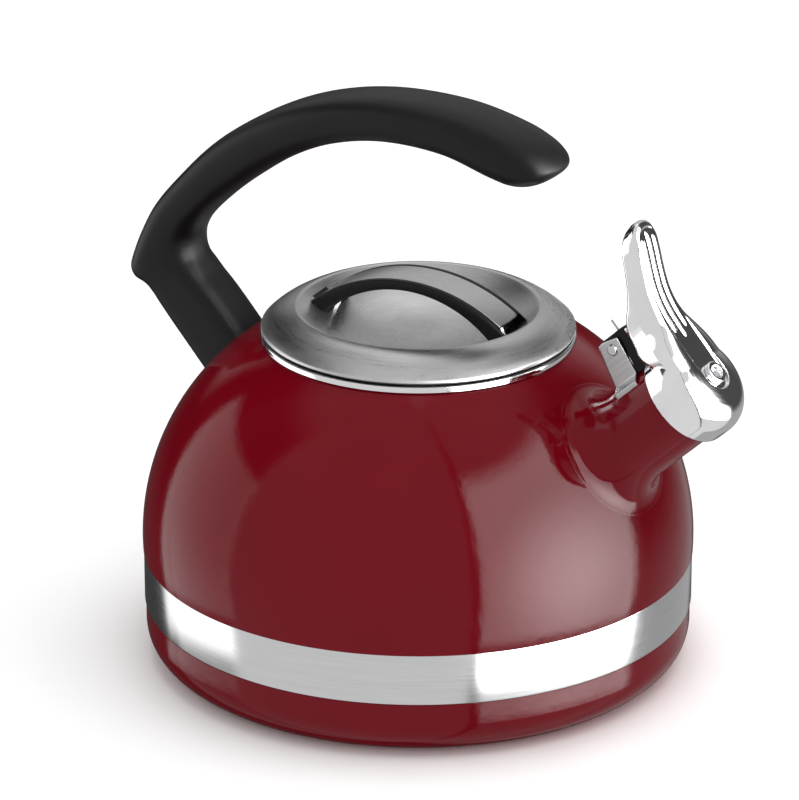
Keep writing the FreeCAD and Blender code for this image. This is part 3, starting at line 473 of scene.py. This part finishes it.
def build_dome():
    heights = np.linspace(BAND_TOP, 116.6, 60)
    outside = [dome_point(height) for height in heights]
    inside = [dome_point(height, WALL) for height in heights[::-1]]
    outline = [(SEAM_RADIUS, SEAM_LOW), (SEAM_RADIUS, BAND_TOP - 0.1), *outside]
    outline += [(54.15, 117.25), (LIP_RADIUS, 117.6), (LIP_RADIUS, 118.5)]
    outline += [(LIP_RADIUS - WALL, 118.5), *inside]
    outline += [(SEAM_RADIUS - WALL, BAND_TOP - WALL), (SEAM_RADIUS - WALL, SEAM_LOW)]
    angles = np.arange(64) * TURN / 64
    circle = np.stack([TUBE_INNER * np.cos(angles), TUBE_INNER * np.sin(angles), 0 * angles], 1)
    ends = [spout_place(circle + np.array([0, 0, along])) for along in (-62.0, -10.0)]
    shell = lathe("body_shell_enamel", outline, steps=256)
    mesh = cut_away(shell, loft("dome_cutter", ends))
    new_piece("body_shell_enamel", mesh, "enamel", "pot", ["body_shell"])


def build_spout():
    """Spout whose root flows out over the dome in a fillet."""
    rings = []
    for angle in np.arange(144) * TURN / 144:
        outward = SPOUT_ABOVE * math.cos(angle) + SIDEWAYS * math.sin(angle)
        line = SPOUT_PLACE + outward * TUBE_OUTER
        along = meet_dome(line, SPOUT_ALONG)
        corner = line + SPOUT_ALONG * along
        away = onto_dome(corner + outward * 0.5) - corner
        foot = onto_dome(corner + away / np.linalg.norm(away) * 8.5)
        sunk = onto_dome(corner + away / np.linalg.norm(away) * 9.3, 0.25)
        top = line + SPOUT_ALONG * min(along + 15.0, -9.0)
        ring = [onto_dome(foot, 0.9), sunk]
        for t in np.linspace(0, 1, 22):
            ring.append((1 - t) ** 2 * foot + 2 * t * (1 - t) * corner + t ** 2 * top)
        for step in (-7.0, -4.0, -1.0, 1.4):
            ring.append(line + SPOUT_ALONG * step)
        ring.append(line + SPOUT_ALONG * TUBE_END - outward * 0.3)
        bore = SPOUT_PLACE + outward * TUBE_INNER
        ring.append(bore + SPOUT_ALONG * TUBE_END)
        inner = meet_dome(bore, SPOUT_ALONG, 0.6)
        for share in (0.3, 0.6, 0.95):
            ring.append(bore + SPOUT_ALONG * (TUBE_END + (inner - TUBE_END) * share))
        rings.append(ring)
    mesh = loft("spout_enamel", rings, capped=False)
    new_piece("spout_enamel", mesh, "enamel", "pot", ["spout_tube"], 40.0)


def build_pot_trim():
    side, skirt = BASE_FLAT + BASE_CORNER, SEAM_RADIUS - WALL - 0.05
    inner = skirt - WALL
    corner_centre = (inner - (BASE_CORNER - BASE_SHEET), BASE_CORNER)
    base = [(r, 0.0) for r in np.linspace(0.0, BASE_FLAT - 0.5, 9)]
    base += arc((BASE_FLAT, BASE_CORNER), BASE_CORNER, -88, 0, 18)
    base += [(side, 16.0), (side, BAND_LOW - 0.5), (side - 0.25, BAND_LOW - 0.15)]
    base += [(skirt, BAND_LOW), (skirt, BASE_LAP), (inner, BASE_LAP)]
    base += arc(corner_centre, BASE_CORNER - BASE_SHEET, 0, -88, 12)
    base += [(r, BASE_SHEET) for r in np.linspace(80.0, 0.0, 8)]
    mesh = lathe("base_pan_enamel", base, steps=256)
    new_piece("base_pan_enamel", mesh, "enamel", "pot", ["base_pan"])
    band = softly(
        [(BAND_RADIUS - 0.7, BAND_LOW), (BAND_RADIUS, BAND_LOW),
         (BAND_RADIUS, BAND_TOP - 0.05), (BAND_RADIUS - 0.7, BAND_TOP - 0.05)],
        [0, 0.35, 0.35, 0], 6)
    mesh = lathe("trim_band_steel", band, steps=320)
    new_piece("trim_band_steel", mesh, "band", "pot", ["trim_band"])
    rim = softly(
        [(55.0, 117.5), (55.0, 119.6), (51.6, 119.6), (51.6, 117.2), (52.55, 117.2), (52.55, 118.65),
         (53.85, 118.65), (53.85, 117.5)],
        [0.2, 0.7, 0.7, 0.2, 0.1, 0.1, 0.1, 0.1], 7)
    mesh = lathe("neck_ring_steel", rim, steps=256)
    new_piece("neck_ring_steel", mesh, "rim", "pot", ["neck_rim"])
    mouth = softly(
        [(16.32, 0.2), (16.8, 0.2), (16.8, 2.6), (14.5, 2.6), (14.5, 0.2), (14.98, 0.2), (14.98, 2.02),
         (16.32, 2.02)],
        [0.1, 0.2, 0.5, 0.5, 0.2, 0.05, 0.05, 0.05], 6)
    mesh = lathe("spout_ring_steel", mouth, spout_place, 128)
    new_piece("spout_ring_steel", mesh, "rim", "pot", ["spout_rim"])


# ---- handle ----------------------------------------------------------------------------------

# Cross-sections from the dome to the tip: outer or upper point (X, Z), inner or lower point (X, Z),
# half width, squareness of the outer half, squareness of the inner half.
HANDLE_SECTIONS = [
    (-92.30, 97.30, -75.30, 112.70, 10.5, 4.6, 4.6),
    (-99.00, 104.70, -81.60, 119.30, 10.5, 4.6, 4.6),
    (-104.40, 110.90, -85.60, 123.20, 10.6, 4.4, 4.2),
    (-107.60, 114.60, -87.60, 125.60, 10.7, 4.2, 3.8),
    (-110.30, 116.90, -88.90, 127.20, 10.9, 4.0, 3.5),
    (-112.90, 117.90, -89.80, 128.40, 11.1, 3.8, 3.2),
    (-115.10, 118.70, -90.50, 129.50, 11.3, 3.6, 3.0),
    (-116.70, 120.70, -91.10, 130.80, 11.5, 3.4, 2.9),
    (-117.00, 123.30, -91.60, 132.30, 11.7, 3.3, 2.8),
    (-115.60, 127.80, -92.00, 134.60, 12.0, 3.2, 2.7),
    (-112.20, 136.00, -91.70, 138.00, 12.3, 3.1, 2.6),
    (-105.60, 148.00, -88.60, 143.40, 13.0, 3.0, 2.5),
    (-94.00, 161.80, -79.80, 152.40, 13.7, 3.0, 2.5),
    (-79.00, 176.50, -67.60, 162.50, 14.0, 3.0, 2.4),
    (-58.20, 190.20, -49.70, 174.80, 14.0, 3.0, 2.4),
    (-37.00, 199.20, -31.70, 183.10, 14.0, 3.0, 2.4),
    (-11.80, 204.40, -9.80, 188.00, 14.0, 3.0, 2.4),
    (17.50, 204.70, 15.30, 187.60, 14.0, 3.0, 2.4),
    (38.00, 200.90, 33.80, 183.00, 14.0, 3.0, 2.5),
    (45.00, 198.60, 41.40, 181.80, 13.6, 2.9, 2.6),
    (50.60, 196.00, 47.40, 182.50, 12.5, 2.7, 2.6),
    (54.40, 193.20, 52.00, 184.40, 10.3, 2.5, 2.5),
    (56.30, 191.00, 55.00, 186.60, 6.9, 2.3, 2.3),
    (56.90, 189.60, 56.50, 188.20, 2.9, 2.0, 2.0),
]
STEM_DIRECTION = np.array([-0.6704, 0.0, 0.7420])


def build_handle():
    stations = catmull(HANDLE_SECTIONS, 7)
    rings = []
    angles = (np.arange(72) + 0.5) * TURN / 72
    for outer_x, outer_z, inner_x, inner_z, half, square_outer, square_inner in stations:
        outer = np.array([outer_x, 0.0, outer_z])
        inner = np.array([inner_x, 0.0, inner_z])
        middle, reach = (outer + inner) / 2, (outer - inner) / 2
        ring = []
        for angle in angles:
            power = 2.0 / (square_outer if math.cos(angle) > 0 else square_inner)
            deep = math.copysign(abs(math.cos(angle)) ** power, math.cos(angle))
            wide = math.copysign(abs(math.sin(angle)) ** power, math.sin(angle))
            ring.append(middle + reach * deep + SIDEWAYS * (half * wide))
        rings.append(np.array(ring))
    foot = []
    for point in rings[0]:
        foot.append(point + STEM_DIRECTION * (meet_dome(point, STEM_DIRECTION, 0.3)))
    rows = [rings[0] + (np.array(foot) - rings[0]) * share for share in (1.0, 0.66, 0.33)]
    mesh = loft("handle_moulding", rows + rings)
    new_piece("handle_moulding", mesh, "black", "pot", ["handle_grip"], 60.0)


# ---- lid -------------------------------------------------------------------------------------


def well_height(reach):
    return WELL_CENTRE - np.sqrt(WELL_RADIUS ** 2 - np.asarray(reach) ** 2)


def arc_height(reach, top, radius):
    return top - radius + np.sqrt(radius ** 2 - np.asarray(reach) ** 2)


def build_lid_cover():
    """Rolled edge, arched flange and dished finger well in one sheet."""
    upper = np.array([CREST_RADIUS + 0.8, CREST_HEIGHT - 0.15])
    lower = np.array([LID_RADIUS - 0.1, LID_EDGE + 1.0])
    chord = upper - lower
    middle = upper - chord / 2
    length = np.linalg.norm(chord)
    towards = np.array([-chord[1], chord[0]]) / length
    drop = math.sqrt(FLANGE_RADIUS ** 2 - (length / 2) ** 2)
    centre = middle + towards * drop
    if centre[1] > middle[1]:
        centre = middle - towards * drop
    start = math.degrees(math.atan2(lower[1] - centre[1], lower[0] - centre[0]))
    end = math.degrees(math.atan2(upper[1] - centre[1], upper[0] - centre[0]))
    flange = arc(centre, FLANGE_RADIUS, start, end, 22)
    crest = [(CREST_RADIUS + 0.35, CREST_HEIGHT), (CREST_RADIUS - 0.1, CREST_HEIGHT + 0.02),
             (CREST_RADIUS - 0.55, CREST_HEIGHT - 0.12)]
    reaches = np.linspace(CREST_RADIUS - 1.0, 0.02, 48)
    bowl = [(r, float(well_height(r))) for r in reaches]
    under_bowl = [(r, float(well_height(r)) - LID_SHEET) for r in reaches[::-1][:-1]]
    under_flange = [(r - 0.15, z - LID_SHEET) for r, z in flange[::-1]][1:-2]
    edge = arc((LID_RADIUS - 0.5, LID_EDGE + 0.5), 0.5, -90, 10, 8)
    outline = [(LID_RADIUS - 1.2, LID_EDGE)] + edge + flange + crest + bowl + under_bowl
    outline += [(CREST_RADIUS + 0.2, CREST_HEIGHT - 0.95)] + under_flange
    outline += [(LID_RADIUS - 1.2, LID_EDGE + 1.0)]
    mesh = lathe("lid_cover_steel", outline, steps=256)
    new_piece("lid_cover_steel", mesh, "lid", "lid", ["lid_cover"], 40.0)


def lid_turned(points):
    points = np.asarray(points, float)
    turn = np.array([[math.cos(LID_TURN), math.sin(LID_TURN), 0],
                     [-math.sin(LID_TURN), math.cos(LID_TURN), 0], [0, 0, 1]])
    return points @ turn


def build_lid_arch():
    """Bridge over the finger well, with a groove for its inlay."""
    rows = []
    reaches = [-38.9, -38.4, -37.6, -36.6, -35.4, -34.95, -34.75]
    reaches += list(np.linspace(-34.2, 34.2, 57))
    reaches += [34.75, 34.95, 35.4, 36.6, 37.6, 38.4, 38.9]
    for reach in reaches:
        top = float(arc_height(reach, ARCH_TOP, ARCH_RADIUS))
        under = float(arc_height(reach, ARCH_UNDER, ARCH_UNDER_RADIUS)) if abs(reach) < 44 else top - 8
        groove = 0.75 if abs(reach) < 34.85 else 0.0
        floor = top - groove
        across = INLAY_HALF + 0.1
        outline = softly(
            [(-ARCH_HALF, under), (-ARCH_HALF, top), (-across, top), (-across, floor), (across, floor),
             (across, top), (ARCH_HALF, top), (ARCH_HALF, under)],
            [1.2, 1.3, 0.15, 0.05, 0.05, 0.15, 1.3, 1.2], 6)
        row = []
        for y, z in outline:
            ground = float(well_height(math.hypot(reach, y))) - 0.35
            row.append((reach, y, max(z, ground)))
        rows.append(row)
    mesh = loft("lid_arch_black", lid_turned(rows))
    new_piece("lid_arch_black", mesh, "black", "lid", ["lid_handle"], 40.0)
    rows = []
    for reach in np.linspace(-INLAY_REACH, INLAY_REACH, 73):
        end = INLAY_REACH - abs(reach)
        dip = 0.12 if end < 0.01 else 0.0
        top = float(arc_height(reach, ARCH_TOP, ARCH_RADIUS)) - dip
        low = top - INLAY_SHEET + 0.1 + dip
        half = INLAY_HALF - (0.15 if end < 0.01 else 0.0)
        outline = softly([(-half, low), (-half, top), (half, top), (half, low)], [0, 0.25, 0.25, 0], 5)
        rows.append([(reach, y, z) for y, z in outline])
    mesh = loft("lid_inlay_steel", lid_turned(rows))
    new_piece("lid_inlay_steel", mesh, "inlay", "lid", ["lid_handle_inlay"])


# ---- spout cap -------------------------------------------------------------------------------

# Cross-sections of the lever: distance above the spout's axis, distance along it to the upper side
# and to the back, half the width.
LEVER_SECTIONS = [
    (0.0, 15.2, 10.5, 13.0), (6.0, 15.3, 7.5, 13.6), (12.0, 15.4, 4.5, 13.9), (18.0, 15.5, 1.0, 12.6),
    (23.0, 15.7, 0.5, 10.2), (27.0, 16.2, 0.7, 9.2), (31.0, 17.1, 2.2, 8.6), (35.0, 18.5, 6.2, 8.1),
    (40.0, 20.9, 10.3, 7.7), (45.0, 23.6, 13.6, 7.6), (50.0, 26.0, 16.6, 7.3), (53.0, 26.9, 18.6, 6.2),
    (55.2, 26.9, 20.9, 4.2), (56.4, 25.8, 23.2, 1.5),
]
LEVER_SQUARENESS, UNDERSIDE_SQUARENESS = 3.0, 7.0
CHANNEL_HALF, CHANNEL_DEPTH, CHANNEL_END = 6.0, 0.7, 54.5
CAP_TOP, CROWN_RADIUS, CAP_REACH, HOLLOW_REACH, HOLLOW_DEPTH = 16.0, 51.4, 18.3, 17.45, 6.9
RIB_HALF, RIB_HEIGHT = 0.8, 0.5
# Ribs: offset across the lever, where each starts and ends above the spout's axis.
RIBS = [(-3.6, 19.0, 49.5), (0.0, 16.0, 51.5), (3.6, 19.0, 49.5)]


def eased(value, low, high):
    share = min(max((value - low) / (high - low), 0.0), 1.0)
    return share * share * (3 - 2 * share)


def lever_relief(above, across, half, crowning):
    """Height of the ribs less the depth of the flat-bottomed channel they stand in."""
    room = min(CHANNEL_HALF, half - 1.3)
    if room <= 0.3:
        return 0.0
    if above > CHANNEL_END - CHANNEL_HALF:
        reach = math.hypot(above - (CHANNEL_END - CHANNEL_HALF), across)
    else:
        reach = abs(across)
    sunk = 1.0 - eased(reach, room - 0.5, room + 0.5)
    relief = (crowning - CHANNEL_DEPTH) * sunk
    for offset, start, end in RIBS:
        gap = abs(across - offset)
        if gap < RIB_HALF:
            profile = math.sqrt(1.0 - (gap / RIB_HALF) ** 2)
            begun = eased(above, start - 1.5, start + 1.5)
            ended = eased(above, end - 1.2, end + 1.2)
            relief += RIB_HEIGHT * profile * begun * (1.0 - ended) * sunk
    return relief


def bulge(share, squareness):
    """Rise of a rounded profile, 1 in its middle and 0 at its edges."""
    return (1.0 - abs(share) ** squareness) ** (1.0 / squareness)


def lever_mesh():
    middle = np.linspace(-0.94, 0.94, 97)
    edge = np.linspace(0.94, 1.0, 8)[1:]
    upper = np.concatenate([-edge[::-1], middle, edge])
    lower = np.linspace(1.0, -1.0, 41)[1:-1]
    rows = []
    for above, top, back, half in catmull(LEVER_SECTIONS, 14):
        centre, depth = (top + back) / 2, (top - back) / 2
        row = []
        for share in upper:
            rise = bulge(share, LEVER_SQUARENESS)
            crowning = depth * (1.0 - rise)
            height = centre + depth * rise + lever_relief(above, share * half, half, crowning)
            row.append((-above, share * half, height))
        for share in lower:
            row.append((-above, share * half, centre - depth * bulge(share, UNDERSIDE_SQUARENESS)))
        rows.append(row)
    return loft("lever", rows)


def crown_mesh():
    outline = [(17.5, 0.0), (18.15, 0.0), (CAP_REACH, 0.2), (CAP_REACH, 3.0)]
    outline += arc((9.3, 6.0), 9.0, 0, 72, 16)
    outline += arc((0.0, CAP_TOP - CROWN_RADIUS), CROWN_RADIUS, 76.8, 90, 8)
    outline[-1] = (0.0, CAP_TOP)
    outline += [(0.0, 13.4), (6.0, 13.3), (12.25, 12.9)]
    outline += arc((10.4, 7.2), 6.0, 70, 0, 8)
    outline += [(16.4, 6.95), (17.5, 6.95)]
    return lathe("crown", outline, steps=128)


def prism(name, outline, low, high):
    """Prism between two heights from points across the spout's axis."""
    return loft(name, [[(x, y, z) for x, y in outline] for z in (low, high)])


def build_cap():
    """Crowned cap and thumb lever cast in one, with a channel and three ribs."""
    half_turn = np.radians(np.linspace(-90, 90, 25))
    slot = [(CHANNEL_HALF * math.cos(a), CHANNEL_HALF * math.sin(a)) for a in half_turn]
    slot += [(-16.0, CHANNEL_HALF), (-16.0, -CHANNEL_HALF)]
    crown = cut_away(crown_mesh(), prism("slot", slot, CAP_TOP - 1.7, CAP_TOP + 3.0))
    turns = np.arange(96) * TURN / 96
    ring = [(HOLLOW_REACH * math.cos(a), HOLLOW_REACH * math.sin(a)) for a in turns]
    lever = cut_away(lever_mesh(), prism("hollow", ring, -4.0, HOLLOW_DEPTH))
    corners = [(-CAP_REACH, -8.0), (-CAP_REACH, 8.0), (-30.0, 8.0), (-30.0, -8.0)]
    pad = softly(corners, 0.8)
    parts = [crown, lever, prism("pad", pad, 0.5, 4.0)]
    shaped = bmesh.new()
    for part in parts:
        shaped.from_mesh(part)
    mesh = bpy.data.meshes.new("cap_blank")
    shaped.to_mesh(mesh)
    shaped.free()
    mesh = remeshed("cap_lever_chrome", mesh, 0.23, 9)
    points = np.empty(len(mesh.vertices) * 3)
    mesh.vertices.foreach_get("co", points)
    placed = spout_place(points.reshape(-1, 3) / MM) * MM
    mesh.vertices.foreach_set("co", placed.ravel())
    mesh.update()
    new_piece("cap_lever_chrome", mesh, "chrome", "spout_cap", ["cap_lever"], 180.0)


# ---- everything ------------------------------------------------------------------------------

build_dome()
build_spout()
build_pot_trim()
build_handle()
build_lid_cover()
build_lid_arch()
build_cap()

softened("hinge_block", "hinge_block_black", "black", "spout_cap", 0.3)
softened("spout_bracket", "spout_bracket_steel", "bracket", "pot", 0.25, 4)
softened("hinge_pin", "hinge_pin_steel", "steel", "pot", 0.15, 4)
softened("whistle_eyelet", "whistle_eyelet_steel", "chrome", "spout_cap", 0.15, 4)

CARRIED = {
    "handle_core": "steel", "handle_bracket": "steel", "handle_screws": "steel",
    "handle_washers": "steel", "bracket_rivets": "steel", "block_screws": "steel",
    "torsion_spring": "steel", "whistle_lower_plate": "steel", "whistle_upper_plate": "steel",
    "whistle_ring": "steel", "cap_insert": "rubber", "cap_seal": "rubber", "lid_liner": "steel",
    "lid_gasket": "rubber", "lid_clips": "steel", "lid_handle_screws": "steel",
    "lid_handle_washers": "steel",
}
for node, material in CARRIED.items():
    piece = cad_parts[node]
    piece.data.materials.clear()
    piece.data.materials.append(MATERIALS[material])

# ---- floor, light and camera -----------------------------------------------------------------


def build_floor():
    material, tree, shader = node_tree("floor_pale")
    place = add(tree, "TexCoord").outputs["Object"]
    grain = noise(tree, place, 3.0, 3.0, 0.5)
    colour = tint(tree, grain, (0.93, 0.93, 0.93), (0.95, 0.95, 0.95))
    tree.links.new(colour, shader.inputs["Base Color"])
    shader.inputs["Roughness"].default_value = 1.0
    shader.inputs["Specular IOR Level"].default_value = 0.0
    mesh = bpy.data.meshes.new("floor")
    shaped = bmesh.new()
    bmesh.ops.create_circle(shaped, cap_ends=True, segments=64, radius=9.0)
    shaped.to_mesh(mesh)
    shaped.free()
    mesh.materials.append(material)
    floor = bpy.data.objects.new("floor", mesh)
    floor.location = (0.0, 0.0, -0.0001)
    floor.visible_glossy = False
    bpy.context.scene.collection.objects.link(floor)


# Radiance of the tent, of the softbox in its middle and towards its edge and of the strip, and how much
# of the tent the narrow gap beside the softbox takes away.
TENT, SOFTBOX_MIDDLE, SOFTBOX_EDGE, STRIP, GAP_SHADE = 0.85, 17.5, 6.5, 1.6, 0.85


def build_world():
    """Even light tent; glossy rays instead see it darker behind, with a wide softbox and a strip."""
    world = bpy.data.worlds.new("studio")
    bpy.context.scene.world = world
    world.use_nodes = True
    tree = world.node_tree
    tree.nodes.clear()
    out = tree.nodes.new("ShaderNodeOutputWorld")
    direction = add(tree, "TexCoord").outputs["Generated"]
    parts = add(tree, "SeparateXYZ", {0: direction})
    x, y, z = parts.outputs[0], parts.outputs[1], parts.outputs[2]
    turn = add(tree, "Math", {0: y, 1: x}, operation="ARCTAN2").outputs[0]
    rise = add(tree, "Math", {0: z}, operation="ARCSINE").outputs[0]

    def step(value, start, end, low=0.0, high=1.0):
        settings = {"Value": value, "From Min": math.radians(start), "From Max": math.radians(end),
                    "To Min": low, "To Max": high}
        item = add(tree, "MapRange", settings, interpolation_type="SMOOTHSTEP")
        return item.outputs["Result"]

    def times(first, second):
        return add(tree, "Math", {0: first, 1: second}, operation="MULTIPLY").outputs[0]

    def plus(first, second):
        return add(tree, "Math", {0: first, 1: second}, operation="ADD").outputs[0]

    front = times(step(turn, -146.0, -138.0), step(turn, 38.0, 50.0, 1.0, 0.0))
    rear = add(tree, "Math", {0: 1.0, 1: front}, operation="SUBTRACT").outputs[0]
    middle = times(step(turn, 76.0, 96.0), step(turn, 150.0, 160.0, 0.62, 0.0))
    beside = step(turn, 98.0, 112.0, 1.0, 0.12)
    shadow = times(beside, step(rise, -20.0, -2.0, 0.46, 0.08))
    shadow = plus(shadow, times(middle, step(rise, 2.0, 14.0)))
    shadow = plus(shadow, step(rise, 44.0, 62.0, 0.0, 0.7))
    tent = plus(times(front, TENT), times(rear, shadow))
    right = times(step(turn, -33.5, -31.5), step(turn, 38.0, 44.0, 1.0, 0.0))
    right = times(right, times(step(rise, -30.0, -24.0), step(rise, 44.0, 56.0, 1.0, 0.0)))
    hot_turn = add(tree, "Math", {0: turn, 1: -math.radians(5.0)}, operation="ADD").outputs[0]
    hot_rise = add(tree, "Math", {0: rise, 1: math.radians(2.0)}, operation="ADD").outputs[0]
    spot = add(tree, "CombineXYZ", {0: hot_turn, 1: hot_rise}).outputs[0]
    spot = add(tree, "VectorMath", {0: spot}, operation="LENGTH").outputs["Value"]
    right = times(right, step(spot, 2.0, 40.0, SOFTBOX_MIDDLE, SOFTBOX_EDGE))
    opposite = add(tree, "Math", {0: turn, 1: -1.0}, operation="MULTIPLY").outputs[0]
    left = step(turn, 168.0, 173.0)
    other = step(opposite, 138.0, 143.0)
    strip = times(plus(left, other), step(rise, 24.0, 29.0, 1.0, 0.0))
    strip = times(strip, step(rise, -28.0, -24.0))
    gap = times(step(turn, -37.5, -36.0), step(turn, -33.0, -31.5, 1.0, 0.0))
    shade = add(tree, "Math", {0: 1.0, 1: times(gap, GAP_SHADE)}, operation="SUBTRACT").outputs[0]
    glossy = plus(times(tent, shade), plus(right, times(strip, STRIP)))
    even = step(rise, 52.0, 68.0, 0.9, 0.6)
    path = add(tree, "LightPath")
    settings = {"Factor": path.outputs["Is Glossy Ray"], "A": even, "B": glossy}
    strength = add(tree, "Mix", settings, data_type="FLOAT").outputs["Result"]
    background = add(tree, "Background", {"Color": (1.0, 1.0, 1.0, 1.0), "Strength": strength})
    tree.links.new(background.outputs[0], out.inputs["Surface"])


def build_light(name, place, target, size, power):
    data = bpy.data.lights.new(name, "AREA")
    data.shape = "RECTANGLE"
    data.size, data.size_y = size
    data.energy = power
    light = bpy.data.objects.new(name, data)
    light.location = place
    light.rotation_euler = (Vector(target) - Vector(place)).to_track_quat("-Z", "Y").to_euler()
    light.visible_glossy = False
    bpy.context.scene.collection.objects.link(light)


# Camera: turned from the front towards +X, raised, metres from its target, focal length in sensor heights.
CAMERA_TURN, CAMERA_RISE, CAMERA_DISTANCE = math.radians(32.0), math.radians(22.0), 1.8
FOCAL_SHARE, SENSOR = 6.445, 36.0


def build_camera():
    turn, rise = CAMERA_TURN, CAMERA_RISE
    back = Vector((math.sin(turn) * math.cos(rise), -math.cos(turn) * math.cos(rise), math.sin(rise)))
    right = Vector((math.cos(turn), math.sin(turn), 0.0))
    up = back.cross(right)
    target = Vector((0.0, 0.0, 0.1)) - 0.00656 * right - 0.00649 * up
    data = bpy.data.cameras.new("camera")
    data.sensor_fit = "VERTICAL"
    data.sensor_width = SENSOR
    data.sensor_height = SENSOR
    data.lens = FOCAL_SHARE * SENSOR
    data.clip_end = 50.0
    camera = bpy.data.objects.new("camera", data)
    rotation = Matrix((right, up, back)).transposed().to_4x4()
    camera.matrix_world = Matrix.Translation(target + back * CAMERA_DISTANCE) @ rotation
    bpy.context.scene.collection.objects.link(camera)
    bpy.context.scene.camera = camera


build_floor()
build_world()
build_light("overhead", (0.2, 0.2, 1.6), (0.0, 0.0, 0.0), (1.6, 1.6), 15.0)
build_camera()
bpy.context.scene.view_settings.view_transform = "Standard"
